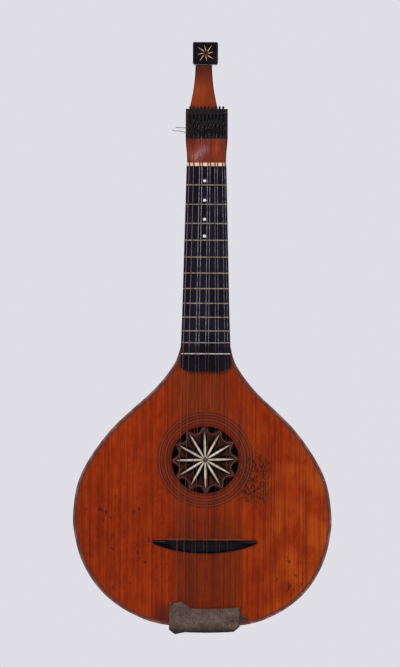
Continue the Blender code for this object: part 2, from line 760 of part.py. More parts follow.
def make_bridge():
    """Ebony bridge: straight towards the neck, bellied towards the tail."""
    half = BRIDGE_LENGTH / 2
    edge_z = BRIDGE_Z + BRIDGE_CROWN_BELOW_EDGE
    rings = []
    stations = 22
    for step in range(stations + 1):
        x = half * math.sin(math.pi * (step / stations - 0.5))
        height = bridge_crown(x)
        belly = BRIDGE_BELLY * math.cos(math.pi / 2 * abs(x) / (half + BRIDGE_TIP_BLUNTNESS)) ** 0.6
        crown = min(BRIDGE_CROWN_WIDTH, belly * 0.4)
        start = min(BRIDGE_CROWN_BELOW_EDGE, belly * 0.2)
        section = [
            (0, 0), (start * 0.3, height * 0.75), (start, height), (start + crown, height * 0.98),
            (start + crown + (belly - start - crown) * 0.45, height * 0.62), (belly, height * 0.16), (belly, 0),
        ]
        rings.append([(x, FRONT - GAP - up, edge_z - down) for down, up in section])
    mesh = loft("bridge", rings)
    smooth(mesh, 35)
    add_object("bridge", mesh, EBONY)


def make_saddle():
    """Ebony saddle let into the soundboard's edge at the tail, where the strings turn down."""
    half = SADDLE_WIDTH / 2
    steps = 16
    rings = []
    for step in range(steps + 1):
        x = half * (2 * step / steps - 1)
        edge = tail_height(x)
        inner = TAIL_Z + SADDLE_LENGTH
        section = [
            (SOUNDBOARD_THICKNESS, inner), (-SADDLE_PROUD * 0.4, inner), (-SADDLE_PROUD, inner - SADDLE_LENGTH * 0.35),
            (-SADDLE_PROUD, edge + SADDLE_PROUD), (-SADDLE_PROUD * 0.4, edge + SADDLE_PROUD * 0.3),
            (SADDLE_PROUD * 0.5, edge), (SOUNDBOARD_THICKNESS, edge),
        ]
        rings.append([(x, FRONT + y, z) for y, z in section])
    add_object("tail_saddle", loft("tail_saddle", rings), EBONY)


def polar(radius, angle):
    """Point (x, z) at a radius and angle from the middle of the rose."""
    return (radius * math.cos(angle), ROSE_Z + radius * math.sin(angle))


def lunette(middle):
    """Opening at the rim, between the tips of two tracery arches."""
    rim = SOUND_HOLE_RADIUS + GAP
    outer = [polar(rim, middle + LUNETTE_HALF_ANGLE * (1 - step / 2)) for step in range(5)]
    inner = []
    for share in (-0.8, -0.55, -0.3, 0.0, 0.3, 0.55, 0.8):
        depth = LUNETTE_DEPTH * math.cos(math.pi / 2 * share) ** 0.8
        inner.append(polar(rim - depth, middle + LUNETTE_HALF_ANGLE * share))
    return outer + inner


def arch(middle):
    """Pointed opening between two rays, with a leaf standing down into it from its crown."""
    crown = SOUND_HOLE_RADIUS + GAP - LUNETTE_DEPTH - TRACERY_BAND
    step = math.pi / ROSE_RAYS
    leaf_tip = crown - LEAF_LENGTH
    half = []
    for radius in (0.34, 0.5, 0.66, 0.82, 0.94):
        reach = (crown + TRACERY_BAND) * radius
        half.append((reach, step - math.asin(RAY_RAIL_WIDTH / 2 / reach)))
    half.append((crown + TRACERY_BAND * 0.6, step - math.asin(RAY_RAIL_WIDTH / 2 / crown) - 0.035))
    half += [
        (crown * 0.96, step * 0.42), (crown - LEAF_LENGTH * 0.22, step * 0.50),
        (crown - LEAF_LENGTH * 0.45, step * 0.40), (crown - LEAF_LENGTH * 0.62, step * 0.22),
        (crown - LEAF_LENGTH * 0.72, step * 0.26), (crown - LEAF_LENGTH * 0.85, step * 0.12),
    ]
    start = RAY_RAIL_WIDTH / 2 / math.sin(step)
    return (
        [polar(start + GAP, middle)]
        + [polar(radius, middle + angle) for radius, angle in half]
        + [polar(leaf_tip, middle)]
        + [polar(radius, middle - angle) for radius, angle in reversed(half)]
    )


def make_rose():
    """Pierced tracery glued under the sound hole."""
    outlines = [circle(SOUND_HOLE_RADIUS + ROSE_RIM_WIDTH, (0, ROSE_Z), 48)]
    for ray in range(ROSE_RAYS):
        along = ROSE_TURN + 2 * math.pi * ray / ROSE_RAYS
        between = along + math.pi / ROSE_RAYS
        outlines.append(lunette(between))
        outlines.append(arch(between))
        outlines.append(circle(TREFOIL_RADIUS, polar(SOUND_HOLE_RADIUS - TREFOIL_RADIUS * 3.2, along), 6, along))
    plate("rose", outlines, ROSE_THICKNESS, SOUNDBOARD_THICKNESS + GAP, TRACERY_WOOD)


def make_rose_star():
    """Twelve slim ivory rays laid on the tracery, joined under a small boss."""
    outline = []
    for ray in range(ROSE_RAYS):
        along = ROSE_TURN + 2 * math.pi * ray / ROSE_RAYS
        widest = math.atan2(RAY_WIDTH / 2, RAY_WIDEST_AT)
        outline += [
            polar(RAY_HUB_RADIUS, along - math.pi / ROSE_RAYS),
            polar(RAY_WIDEST_AT, along - widest),
            polar(RAY_LENGTH, along - RAY_WIDTH * 0.12 / RAY_LENGTH),
            polar(RAY_LENGTH, along + RAY_WIDTH * 0.12 / RAY_LENGTH),
            polar(RAY_WIDEST_AT, along + widest),
        ]
    plate("rose_star", [outline], RAY_THICKNESS, SOUNDBOARD_THICKNESS - RAY_THICKNESS, IVORY)


def make_finial():
    """Ebony block on top of the stem, with its edges rounded."""
    front = head_face(SHOULDER_Z) + HEAD_DEPTH - STEM_THICKNESS - FINIAL_OVERHANG
    half = FINIAL_WIDTH / 2
    mesh = box_mesh(
        "finial",
        (FINIAL_SIDE_SHIFT - half, FRONT + front, HANG_BELOW_FINIAL),
        (FINIAL_SIDE_SHIFT + half, FRONT + front + FINIAL_DEPTH, HANG_BELOW_FINIAL + FINIAL_HEIGHT),
    )
    finial = add_object("finial", mesh, EBONY)
    edges = finial.modifiers.new("rounded_edges", "BEVEL")
    edges.width = FINIAL_EDGE_ROUND
    edges.segments = 2


def machine_anchor():
    """Empty at the head's shoulder, turned with the head's leaning face."""
    anchor = bpy.data.objects.new("machine_anchor", None)
    parts.objects.link(anchor)
    anchor.matrix_world = MACHINE_MATRIX
    return anchor


def make_machine_frame(anchor):
    """Iron frame: slotted front plate between a top and a bottom flange that carry the screws."""
    half, head_half = PLATE_WIDTH / 2, HEAD_WIDTH / 2
    top = GAP + FLANGE_THICKNESS
    back = PLATE_THICKNESS - PLATE_PROUD
    frame = add_object(
        "machine_frame",
        box_mesh("machine_frame", (-half, -PLATE_PROUD, -MACHINE_HEIGHT), (half, back, GAP + FLANGE_THICKNESS / 2)),
        IRON,
    )
    flanges = (
        ("top_flange", (-head_half, -PLATE_PROUD, GAP), (head_half, RECESS_DEPTH + GAP, top)),
        ("bottom_flange", (-half + GAP, back / 2, -MACHINE_HEIGHT),
         (half - GAP, RECESS_DEPTH - GAP, -MACHINE_HEIGHT + FLANGE_THICKNESS)),
    )
    frame.parent = anchor
    for name, low, high in flanges:
        flange = add_cutter(name, box_mesh(name, low, high))
        flange.parent = anchor
        combine(frame, flange, "UNION")
    slots, bores = bmesh.new(), bmesh.new()
    for index in range(len(STRINGS)):
        x = screw_x(index)
        matrix = Matrix.Translation((x, 0, -SLOT_TOP - SLOT_LENGTH / 2)) @ Matrix.Diagonal(
            (SLOT_WIDTH, PLATE_THICKNESS * 4, SLOT_LENGTH, 1)
        )
        bmesh.ops.create_cube(slots, size=1, matrix=matrix)
        add_cylinder(
            bores, SCREW_DIAMETER / 2 + GAP, -MACHINE_HEIGHT - FLANGE_THICKNESS, top + FLANGE_THICKNESS,
            (x, SCREW_BEHIND_FACE)
        )
    for name, bm in (("hook_slots", slots), ("screw_bores", bores)):
        cutter = add_cutter(name, mesh_from(bm, name))
        cutter.parent = anchor
        combine(frame, cutter, "DIFFERENCE")


def screw_mesh():
    """Tuning screw: shaft, collar under the top flange and the square that the watch key turns."""
    shaft, collar = SCREW_DIAMETER / 2, SCREW_COLLAR_DIAMETER / 2
    foot = -MACHINE_HEIGHT + GAP
    neck = GAP + FLANGE_THICKNESS + GAP
    levels = (
        (foot, shaft), (-SCREW_COLLAR_HEIGHT, shaft), (-SCREW_COLLAR_HEIGHT, collar), (0, collar), (0, shaft),
        (neck, shaft),
    )
    sides = 8
    rings = []
    for z, radius in levels:
        rings.append([
            (radius * math.cos(2 * math.pi * (side + 0.5) / sides), radius * math.sin(2 * math.pi * (side + 0.5) / sides), z)
            for side in range(sides)
        ])
    square = SCREW_HEAD_SIZE / 2
    corner = square - square / 4
    outline = ((square, corner), (corner, square), (-corner, square), (-square, corner),
               (-square, -corner), (-corner, -square), (corner, -square), (square, -corner))
    for z in (neck, neck + SCREW_HEAD_HEIGHT):
        rings.append([(x, y, z) for x, y in outline])
    return loft("tuning_screw", rings)


def hook_mesh():
    """Travelling nut on its screw, with a tongue through the slot that ends in an upturned hook."""
    width, depth, height = HOOK_BLOCK_WIDTH / 2, HOOK_BLOCK_DEPTH / 2, HOOK_BLOCK_HEIGHT / 2
    block = bpy.data.objects.new("hook_block", box_mesh("hook_block", (-width, -depth, -height), (width, depth, height)))
    cutters.objects.link(block)
    thin = SLOT_WIDTH / 2 - GAP
    low, high = -HOOK_HEIGHT / 2, HOOK_HEIGHT / 2
    tip = -SCREW_BEHIND_FACE - HOOK_REACH
    crook = tip + HOOK_TIP_THICKNESS
    root = crook + HOOK_CROOK_WIDTH
    profile = (
        (-depth / 2, low), (tip + HOOK_TIP_THICKNESS, low), (tip, low + HOOK_TIP_THICKNESS),
        (tip, high + HOOK_TIP_RISE), (crook, high + HOOK_TIP_RISE), (crook, low + HOOK_HEIGHT * 0.55),
        (root, low + HOOK_HEIGHT * 0.55), (root + HOOK_TIP_THICKNESS, high), (-depth / 2, high),
    )
    tongue = add_cutter("hook_tongue", loft("hook_tongue", [[(x, y, z) for y, z in profile] for x in (-thin, thin)]))
    bm = bmesh.new()
    add_cylinder(bm, SCREW_DIAMETER / 2 + GAP, -HOOK_BLOCK_HEIGHT, HOOK_BLOCK_HEIGHT, (0, 0))
    combine(block, tongue, "UNION")
    combine(block, add_cutter("hook_bore", mesh_from(bm, "hook_bore")), "DIFFERENCE")
    evaluated = block.evaluated_get(bpy.context.evaluated_depsgraph_get())
    mesh = bpy.data.meshes.new_from_object(evaluated)
    mesh.name = "string_hook"
    for helper in (block, tongue, bpy.data.objects["hook_bore"]):
        bpy.data.objects.remove(helper)
    return mesh


def make_tuners(anchor):
    """Ten screws, each with its hook drawn up to where its string is in tune."""
    screw, hook = screw_mesh(), hook_mesh()
    for index, setting in enumerate(HOOK_SETTINGS):
        turner = add_object(f"tuning_screw_{index + 1:02d}", screw.copy(), IRON)
        turner.parent = anchor
        turner.location = (screw_x(index), SCREW_BEHIND_FACE, 0)
        catch = add_object(f"string_hook_{index + 1:02d}", hook.copy(), IRON)
        catch.parent = anchor
        catch.location = (screw_x(index), SCREW_BEHIND_FACE, -setting)


def loop_points(reach, spread):
    """Hairpin of a string's end round a post, as (across, along) with the post's middle at the origin."""
    return [
        (0, -reach - spread * 2.2), (spread * 0.75, -reach), (spread, -spread * 0.6), (spread * 0.75, spread * 0.65),
        (0, spread), (-spread * 0.75, spread * 0.65), (-spread, -spread * 0.6), (-spread * 0.9, -reach),
    ]


def string_route(index):
    """Points along a string, from its loop on the hook to its loop on the hitch pin."""
    nut_x, bridge_x, diameter = STRINGS[index]
    radius = diameter / 2
    setting = HOOK_SETTINGS[index]
    spread = SLOT_WIDTH / 2 + radius + GAP
    floor = -setting - HOOK_HEIGHT / 2 + HOOK_HEIGHT * 0.55
    middle = Vector((screw_x(index), -HOOK_REACH + HOOK_TIP_THICKNESS + HOOK_CROOK_WIDTH / 2, floor + GAP + radius - spread))
    nut_y = FRONT + nut_crown(nut_x) + radius
    machine_nut = MACHINE_MATRIX.inverted() @ Vector((nut_x, nut_y, NUT_TOP_Z))
    down = (middle - machine_nut).normalized()
    across = Vector((1, 0, 0))
    route = [MACHINE_MATRIX @ (middle + across * side + down * along)
             for side, along in reversed(loop_points(STRING_LOOP_LEG, spread))]
    bridge_y = FRONT - GAP * 2 - bridge_crown(bridge_x) - radius
    turn = SADDLE_PROUD + radius + GAP
    edge = tail_height(bridge_x)
    route += [
        Vector((nut_x, nut_y, NUT_TOP_Z)),
        Vector((nut_x, nut_y, NUT_Z)),
        Vector((bridge_x, bridge_y, BRIDGE_Z + BRIDGE_CROWN_WIDTH / 2)),
        Vector((bridge_x, bridge_y, BRIDGE_Z - BRIDGE_CROWN_WIDTH / 2)),
    ]
    for step in range(4):
        angle = math.pi / 2 * step / 3
        route.append(Vector((
            bridge_x, FRONT - turn * math.cos(angle), edge + SADDLE_PROUD - (turn + GAP) * math.sin(angle)
        )))
    pin_x, pin_depth = pin_places()[index]
    pin_spread = PIN_DIAMETER / 2 + radius + GAP
    level = edge - radius - GAP * 2
    for side, along in loop_points(STRING_LOOP_LEG, pin_spread)[1:]:
        route.append(Vector((pin_x + side, FRONT + pin_depth + along, level)))
    return route


def make_strings():
    """Ten wires, each a tube along its route."""
    for index, (_, _, diameter) in enumerate(STRINGS):
        name = f"string_{index + 1:02d}"
        curve = bpy.data.curves.new(name, "CURVE")
        curve.dimensions = "3D"
        curve.bevel_depth = diameter / 2
        curve.bevel_resolution = 1
        curve.use_fill_caps = True
        curve.render_resolution_u = 0
        route = string_route(index)
        spline = curve.splines.new("POLY")
        spline.points.add(len(route) - 1)
        for point, place in zip(spline.points, route):
            point.co = (*place, 1)
        add_object(name, curve, WIRE)


def cover_paths():
    """Two paths (depth, height below the tail edge) of the cloth: over the strings, and close to the body."""
    close = COVER_THICKNESS / 2 + GAP
    slack = COVER_THICKNESS / 2
    out, on, behind = COVER_BULGE + GAP, COVER_ON_SOUNDBOARD, COVER_ON_RIBS
    lifted = [
        (-COVER_EDGE_SLOPE, on), (-COVER_EDGE_SLOPE + 0.0010, on * 0.6), (-COVER_EDGE_SLOPE + 0.0020, on * 0.2),
        (-COVER_EDGE_SLOPE + 0.0036, -out * 0.45), (0.0006, -out * 0.88), (0.0060, -out), (behind * 0.5, -out),
        (behind * 0.8, -out * 0.94), (behind * 0.95, -out * 0.6), (behind, -close),
    ]
    laid = [
        (-close, on), (-close, on * 0.6), (-close, on * 0.2), (-close * 0.8, -close * 0.5), (0.0012, -close),
        (0.0060, -close), (behind * 0.5, -close - slack * 0.2), (behind * 0.8, -close), (behind * 0.95, -close),
        (behind, -close),
    ]
    return smooth_curve(lifted, 2), smooth_curve(laid, 2)


def make_string_cover():
    """Cloth strip over the string ends: raised over strings and pins, laid down at both sides."""
    lifted, laid = cover_paths()
    half = COVER_WIDTH / 2
    bm = bmesh.new()
    rows = []
    for step in range(COVER_COLUMNS + 1):
        share = 2 * step / COVER_COLUMNS - 1
        x = half * share
        lift = min(1.0, (1 - abs(share)) / 0.17)
        lift = lift * lift * (3 - 2 * lift)
        fold = max(0.0, math.sin(math.pi * (x + half) / COVER_FOLD_WIDTH)) if x + half < COVER_FOLD_WIDTH else 0.0
        row = []
        for index, ((y1, z1), (y0, z0)) in enumerate(zip(lifted, laid)):
            rise = COVER_FOLD_RISE * fold * max(0.0, 1 - index / 6)
            y, z = y0 + (y1 - y0) * lift, z0 + (z1 - z0) * lift + rise
            row.append(bm.verts.new((x, FRONT + y, tail_height(x) + z)))
        rows.append(row)
    for row, following in zip(rows, rows[1:]):
        for index in range(len(row) - 1):
            bm.faces.new((row[index], row[index + 1], following[index + 1], following[index]))
    mesh = bpy.data.meshes.new("string_cover")
    bm.to_mesh(mesh)
    bm.free()
    smooth(mesh)
    cover = add_object("string_cover", mesh, CLOTH)
    cloth = cover.modifiers.new("cloth", "SOLIDIFY")
    cloth.thickness = COVER_THICKNESS
    cloth.offset = 0
    cloth.use_even_offset = True


make_soundboard()
make_back()
make_ribs()
make_tail_block()
make_bars()
drill_through = capo_drill()
make_neck(drill_through)
make_fingerboard(drill_through)
make_frets()
make_nut()
make_bridge()
make_saddle()
make_rose()
make_rose_star()
make_finial()
machine = machine_anchor()
make_machine_frame(machine)
make_tuners(machine)
make_strings()
make_string_cover()
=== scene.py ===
"""An english guitar hanging in front of a pale ground, as photographed from straight ahead."""

import math
import random

import bmesh
import bpy
from mathutils import Matrix, Vector


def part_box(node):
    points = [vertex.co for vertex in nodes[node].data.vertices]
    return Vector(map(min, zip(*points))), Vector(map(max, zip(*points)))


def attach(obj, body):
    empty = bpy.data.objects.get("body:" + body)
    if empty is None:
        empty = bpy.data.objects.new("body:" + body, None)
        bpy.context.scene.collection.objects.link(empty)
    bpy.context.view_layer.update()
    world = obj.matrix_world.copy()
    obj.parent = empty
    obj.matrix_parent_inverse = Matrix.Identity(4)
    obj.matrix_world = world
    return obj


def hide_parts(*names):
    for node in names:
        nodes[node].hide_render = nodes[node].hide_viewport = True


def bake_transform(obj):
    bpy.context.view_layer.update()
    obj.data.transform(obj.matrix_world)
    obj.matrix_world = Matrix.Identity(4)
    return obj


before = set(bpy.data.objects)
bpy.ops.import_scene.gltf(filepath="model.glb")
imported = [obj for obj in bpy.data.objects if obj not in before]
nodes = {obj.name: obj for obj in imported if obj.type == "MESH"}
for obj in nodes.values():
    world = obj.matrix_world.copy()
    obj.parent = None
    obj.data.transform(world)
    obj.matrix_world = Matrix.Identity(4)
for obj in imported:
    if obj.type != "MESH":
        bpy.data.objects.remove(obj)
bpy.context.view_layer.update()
scene = bpy.context.scene


# Camera
# A long lens straight in front of the soundboard, rolled a little because the instrument hangs
# slightly out of plumb.

# Metres of the object behind one pixel of the photo
PIXEL = 0.00112
FRAME_HEIGHT = 667 * PIXEL
FRAME_MIDDLE_X = -5.7 * PIXEL
FRAME_MIDDLE_Z = -265.5 * PIXEL
CAMERA_DISTANCE = 5.0
CAMERA_ROLL = math.radians(0.28)
SENSOR_HEIGHT = 24
LENS_REACH = 60
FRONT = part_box("soundboard")[0][1]

lens = bpy.data.cameras.new("camera")
lens.sensor_fit = "VERTICAL"
lens.sensor_height = SENSOR_HEIGHT
lens.lens = SENSOR_HEIGHT * CAMERA_DISTANCE / FRAME_HEIGHT
lens.clip_end = LENS_REACH
camera = bpy.data.objects.new("camera", lens)
scene.collection.objects.link(camera)
camera.matrix_world = (
    Matrix.Translation((FRAME_MIDDLE_X, FRONT - CAMERA_DISTANCE, FRAME_MIDDLE_Z))
    @ Matrix.Rotation(math.radians(90), 4, "X")
    @ Matrix.Rotation(CAMERA_ROLL, 4, "Z")
)
scene.camera = camera


# Soundboard
# A thin spruce board glued on the ribs, with fine upright grain under orange-red varnish. It is
# browner under the strings, stained and worn by the player's hand, and dark rings are inlaid
# round its sound hole. Round the hole, painted shade darkens the board, most at the hole's edge.

class Value:
    """A shader socket whose arithmetic adds Math nodes."""

    def __init__(self, shader, socket):
        self.shader = shader
        self.socket = socket

    def math(self, operation, *others):
        return self.shader.node("ShaderNodeMath", {"operation": operation}, [self, *others])

    def __add__(self, other):
        return self.math("ADD", other)

    def __radd__(self, other):
        return self.math("ADD", other)

    def __sub__(self, other):
        return self.math("SUBTRACT", other)

    def __rsub__(self, other):
        return self.shader.node("ShaderNodeMath", {"operation": "SUBTRACT"}, [other, self])

    def __mul__(self, other):
        return self.math("MULTIPLY", other)

    def __rmul__(self, other):
        return self.math("MULTIPLY", other)

    def step(self, low, high):
        """0 below low and 1 above high, with a smooth change between."""
        settings = {"interpolation_type": "SMOOTHSTEP"}
        return self.shader.node("ShaderNodeMapRange", settings, [self, low, high, 0.0, 1.0])

    def band(self, middle, half, soft):
        """1 within half of the middle and 0 beyond, with soft edges."""
        return 1 - (self - middle).math("ABSOLUTE").step(half, half + soft)


class Shader:
    """The nodes of a material or of the world, with the one that gives its main shader."""

    def __init__(self, tree, main):
        self.tree = tree
        self.main = tree.nodes[main]

    def plug(self, socket, value):
        """Link a value to a socket, or set a number or colour on it."""
        if isinstance(value, Value):
            self.tree.links.new(value.socket, socket)
        elif socket.type == "RGBA":
            socket.default_value = (*value, 1)
        else:
            socket.default_value = value

    def set(self, name, value):
        self.plug(self.main.inputs[name], value)

    def node(self, kind, settings, inputs, output=0):
        """A node with its settings made first, then the values or links of its sockets."""
        made = self.tree.nodes.new(kind)
        for name, value in settings.items():
            setattr(made, name, value)
        for key, value in inputs.items() if isinstance(inputs, dict) else enumerate(inputs):
            self.plug(made.inputs[key], value)
        return Value(self, made.outputs[output])


class Surface(Shader):
    """A Principled material, with its place on the object as x, y and z."""

    def __init__(self, name, roughness=0.5, metallic=0.0, coat=0.0, coat_roughness=0.1, specular=0.5):
        self.material = bpy.data.materials.new(name)
        self.material.use_nodes = True
        super().__init__(self.material.node_tree, "Principled BSDF")
        self.set("Roughness", roughness)
        self.set("Metallic", metallic)
        self.set("Coat Weight", coat)
        self.set("Coat Roughness", coat_roughness)
        self.set("Specular IOR Level", specular)
        self.place = self.node("ShaderNodeTexCoord", {}, {}, "Object")
        self.x, self.y, self.z = [
            self.node("ShaderNodeSeparateXYZ", {}, [self.place], axis) for axis in ("X", "Y", "Z")
        ]

    def mix(self, factor, first, second):
        settings = {"data_type": "RGBA", "blend_type": "MIX"}
        return self.node("ShaderNodeMix", settings, {0: factor, 6: first, 7: second}, 2)

    def noise(self, scale, detail=4.0, roughness=0.55, distortion=0.0):
        """Noise over the object, with its own scale along each axis."""
        scaled = self.node("ShaderNodeVectorMath", {"operation": "MULTIPLY"}, [self.place, scale])
        inputs = {
            "Vector": scaled, "Scale": 1.0, "Detail": detail,
            "Roughness": roughness, "Distortion": distortion,
        }
        return self.node("ShaderNodeTexNoise", {}, inputs)

    def reach(self, x, z):
        """Distance from a line that runs front to back through (x, z)."""
        across, upward = self.x - x, self.z - z
        return (across * across + upward * upward).math("SQRT")

    def bump(self, height, distance, strength=1.0):
        inputs = {"Height": height, "Distance": distance, "Strength": strength}
        self.set("Normal", self.node("ShaderNodeBump", {}, inputs))


def dress(surface, *names):
    """Give CAD nodes a material."""
    for name in names:
        for slot in nodes[name].material_slots:
            slot.material = surface.material


ROSE_Z = (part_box("rose")[0][2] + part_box("rose")[1][2]) / 2
VARNISH_DARK = (0.175, 0.013, 0.0010)
VARNISH_BRIGHT = (0.345, 0.036, 0.0025)
VARNISH_FADED = (0.43, 0.074, 0.006)
GRAIN_BROWN = (0.090, 0.008, 0.002)
FINE_GRAIN_BROWN = (0.085, 0.008, 0.002)
HAND_BROWN = (0.080, 0.014, 0.004)
HAND_BROWN_ABOVE = (0.085, 0.019, 0.004)
GRIME = (0.05, 0.007, 0.006)
HAND_MIDDLE_X, HAND_HALF_WIDTH = 0.004, 0.026
JOINT_X = -0.0422
RESIN_X, RESIN_Z = 0.0388, -0.402
WORN_X, WORN_Z = 0.055, -0.459
STAIN_LEFT_X, STAIN_LEFT_Z = -0.085, -0.535
STAIN_RIGHT_X, STAIN_RIGHT_Z = 0.097, -0.572
COVER_CORNER_X = -0.048
# Radius and half width of the dark rings, and radius of the thin light ones
DARK_RINGS = ((0.0437, 0.0005), (0.0462, 0.0005), (0.0505, 0.0005), (0.0528, 0.0004))
LIGHT_RINGS = (0.0450, 0.0517)

board = Surface("soundboard_varnish", roughness=0.42, coat_roughness=0.2, specular=0.05)
grain = board.noise((620, 60, 5), 5, 0.6)
fine_grain = board.noise((2600, 60, 26), 3, 0.6)
clouds = board.noise((17, 10, 9), 4, 0.55)
mottle = board.noise((150, 20, 60), 5, 0.65, 0.4)
tone = clouds.step(0.30, 0.70) * 0.3 + mottle.step(0.25, 0.75) * 0.7
colour = board.mix(tone, VARNISH_DARK, VARNISH_BRIGHT)
faded = board.x.step(0.01, 0.11) * board.noise((30, 10, 22), 3).step(0.38, 0.62)
colour = board.mix(faded * 0.65, colour, VARNISH_FADED)
colour = board.mix(grain.step(0.42, 0.64) * 0.6, colour, GRAIN_BROWN)
colour = board.mix(fine_grain.step(0.40, 0.70) * 0.35, colour, FINE_GRAIN_BROWN)

below_rose = 1 - board.z.step(ROSE_Z - 0.075, ROSE_Z - 0.035)
under_strings = board.x.band(HAND_MIDDLE_X, HAND_HALF_WIDTH, 0.020) * below_rose
under_strings = under_strings * (0.45 + grain.step(0.35, 0.7) * 0.55)
colour = board.mix(under_strings * 0.8, colour, HAND_BROWN)
above_rose = board.x.band(-0.006, 0.022, 0.020) * board.z.step(ROSE_Z + 0.034, ROSE_Z + 0.06)
above_rose = above_rose * (0.15 + grain.step(0.35, 0.65) * 0.6)
colour = board.mix(above_rose, colour, HAND_BROWN_ABOVE)

joint_line = board.x.band(JOINT_X, 0.0003, 0.0008) * board.z.step(-0.49, -0.47)
colour = board.mix(joint_line * 0.6, colour, (0.07, 0.008, 0.004))
resin_streak = board.x.band(RESIN_X, 0.0008, 0.0022) * board.z.band(RESIN_Z, 0.020, 0.012)
colour = board.mix(resin_streak * mottle.step(0.35, 0.6) * 0.8, colour, (0.035, 0.012, 0.014))

worn = board.x.band(WORN_X, 0.009, 0.016) * board.z.band(WORN_Z, 0.016, 0.022)
specks = board.noise((560, 60, 300), 4, 0.7, 0.8).step(0.46, 0.56)
colour = board.mix(worn * 0.35, colour, (0.11, 0.020, 0.005))
colour = board.mix(worn * specks * 0.9, colour, (0.016, 0.005, 0.003))

stained_left = board.x.band(STAIN_LEFT_X, 0.035, 0.025) * board.z.band(STAIN_LEFT_Z, 0.040, 0.03)
stained_right = board.x.band(STAIN_RIGHT_X, 0.012, 0.015) * board.z.band(STAIN_RIGHT_Z, 0.018, 0.02)
stained = (stained_left + stained_right).math("MINIMUM", 1.0)
spots = board.noise((210, 20, 120), 2, 0.5).step(0.64, 0.72)
colour = board.mix(stained * spots * 0.85, colour, GRIME)
pits = board.noise((340, 30, 260), 2, 0.5).step(0.70, 0.76)
colour = board.mix(pits * 0.6, colour, (0.07, 0.01, 0.006))

from_rose = board.reach(0.0, ROSE_Z)
rings = 0.0
for radius, half_width in DARK_RINGS:
    rings = from_rose.band(radius, half_width, 0.0004) + rings
# Painted shade: a broad dark band round the sound hole
colour = board.mix(from_rose.band(0.0445, 0.0070, 0.0050) * 0.42, colour, (0.065, 0.012, 0.005))
colour = board.mix(rings.math("MINIMUM", 1.0) * 0.6, colour, (0.035, 0.008, 0.005))
# Painted shade along the rim of the sound hole
colour = board.mix(from_rose.band(0.0395, 0.0010, 0.0010) * 0.5, colour, (0.030, 0.007, 0.005))
for radius in LIGHT_RINGS:
    colour = board.mix(from_rose.band(radius, 0.0003, 0.0003) * 0.3, colour, (0.26, 0.09, 0.05))
# Painted shade on the board nearest the sound hole
colour = board.mix((1 - from_rose.step(0.036, 0.0386)) * 0.7, colour, (0.10, 0.02, 0.01))

beside_cover = 1 - (board.x - COVER_CORNER_X).math("ABSOLUTE").step(0.0, 0.018)
at_tail = 1 - board.z.step(-0.612, -0.592)
colour = board.mix(beside_cover * at_tail * 0.75, colour, (0.05, 0.008, 0.006))
board.set("Base Color", colour)
board.set("Roughness", 0.36 + mottle * 0.16 + worn * 0.12)
board.bump(grain * 0.5 + fine_grain * 0.3 - specks * worn * 0.8 - pits * 0.8, 0.00025, 0.5)
dress(board, "soundboard")


# Rose
# A pierced wheel of thin stained wood, glued under the sound hole. A raised bead follows its twelve
# arches and trefoils and the edges of the spokes.

def add_mesh(name, bm, surface, body="instrument", smooth=True):
    """A new piece from a bmesh, riding on a body, or on none."""
    bmesh.ops.recalc_face_normals(bm, faces=bm.faces)
    mesh = bpy.data.meshes.new(name)
    bm.to_mesh(mesh)
    bm.free()
    if smooth:
        mesh.shade_smooth()
        mesh.set_sharp_from_angle(angle=math.radians(40))
    mesh.materials.append(surface.material)
    piece = bpy.data.objects.new(name, mesh)
    scene.collection.objects.link(piece)
    if body:
        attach(piece, body)
    return piece


def add_loft(bm, rings):
    """A closed skin: a face over the first ring of points, extruded through all the others."""
    first = end = bm.faces.new([bm.verts.new(point) for point in rings[0]])
    for ring in rings[1:]:
        extruded = bmesh.ops.extrude_face_region(bm, geom=[end])["geom"]
        if end is not first:
            bmesh.ops.delete(bm, geom=[end], context="FACES_ONLY")
        end = next(item for item in extruded if isinstance(item, bmesh.types.BMFace))
        for vert, point in zip(end.verts, ring):
            vert.co = point


def add_tube(bm, path, radius, sides):
    """A tube along a path, with closed ends."""
    rings = []
    for index, point in enumerate(path):
        along = (path[min(index + 1, len(path) - 1)] - path[max(index - 1, 0)]).normalized()
        aside = along.orthogonal() if index == 0 else aside - along * aside.dot(along)
        aside = aside.normalized()
        third = along.cross(aside)
        rings.append([
            point + (aside * math.cos(turn) + third * math.sin(turn)) * radius
            for turn in (2 * math.pi * side / sides for side in range(sides))
        ])
    add_loft(bm, rings)


tracery = Surface("rose_tracery", roughness=0.5, specular=0.05)
carved = tracery.noise((420, 100, 420), 4).step(0.35, 0.7)
colour = tracery.mix(carved, (0.004, 0.0015, 0.0015), (0.058, 0.008, 0.003))
towards_rim = tracery.reach(0.0, ROSE_Z).step(0.020, 0.034)
tracery.set("Base Color", tracery.mix(towards_rim * 0.3, colour, (0.06, 0.022, 0.018)))
tracery.bump(carved, 0.0003, 0.6)
dress(tracery, "rose")

bead_wood = Surface("rose_bead", roughness=0.42, specular=0.4)
rubbed = bead_wood.noise((600, 80, 600)).step(0.3, 0.7)
bead_wood.set("Base Color", bead_wood.mix(rubbed, (0.045, 0.016, 0.013), (0.13, 0.055, 0.045)))

ROSE_TURN = math.radians(2)
ROSE_SPOKES = 12
ROSE_SECTOR = 2 * math.pi / ROSE_SPOKES
ROSE_GLUED_WIDTH = 0.0042
BEAD_LIFT = 0.0002
ARCH_DEPTH = 0.0080
ARCH_RISE = 0.0068
ARCH_STEPS = 12
ARCH_BEAD_RADIUS = 0.00035
TREFOIL_INSET = 0.0029
TREFOIL_RADIUS = 0.0013
TREFOIL_STEPS = 10
TREFOIL_BEAD_RADIUS = 0.00028
SPOKE_START, SPOKE_LENGTH = 0.008, 0.0215
SPOKE_HALF_WIDTH = 0.0012
SPOKE_STEPS = 6
SPOKE_BEAD_RADIUS, SPOKE_BEAD_LIFT = 0.0002, 0.0001

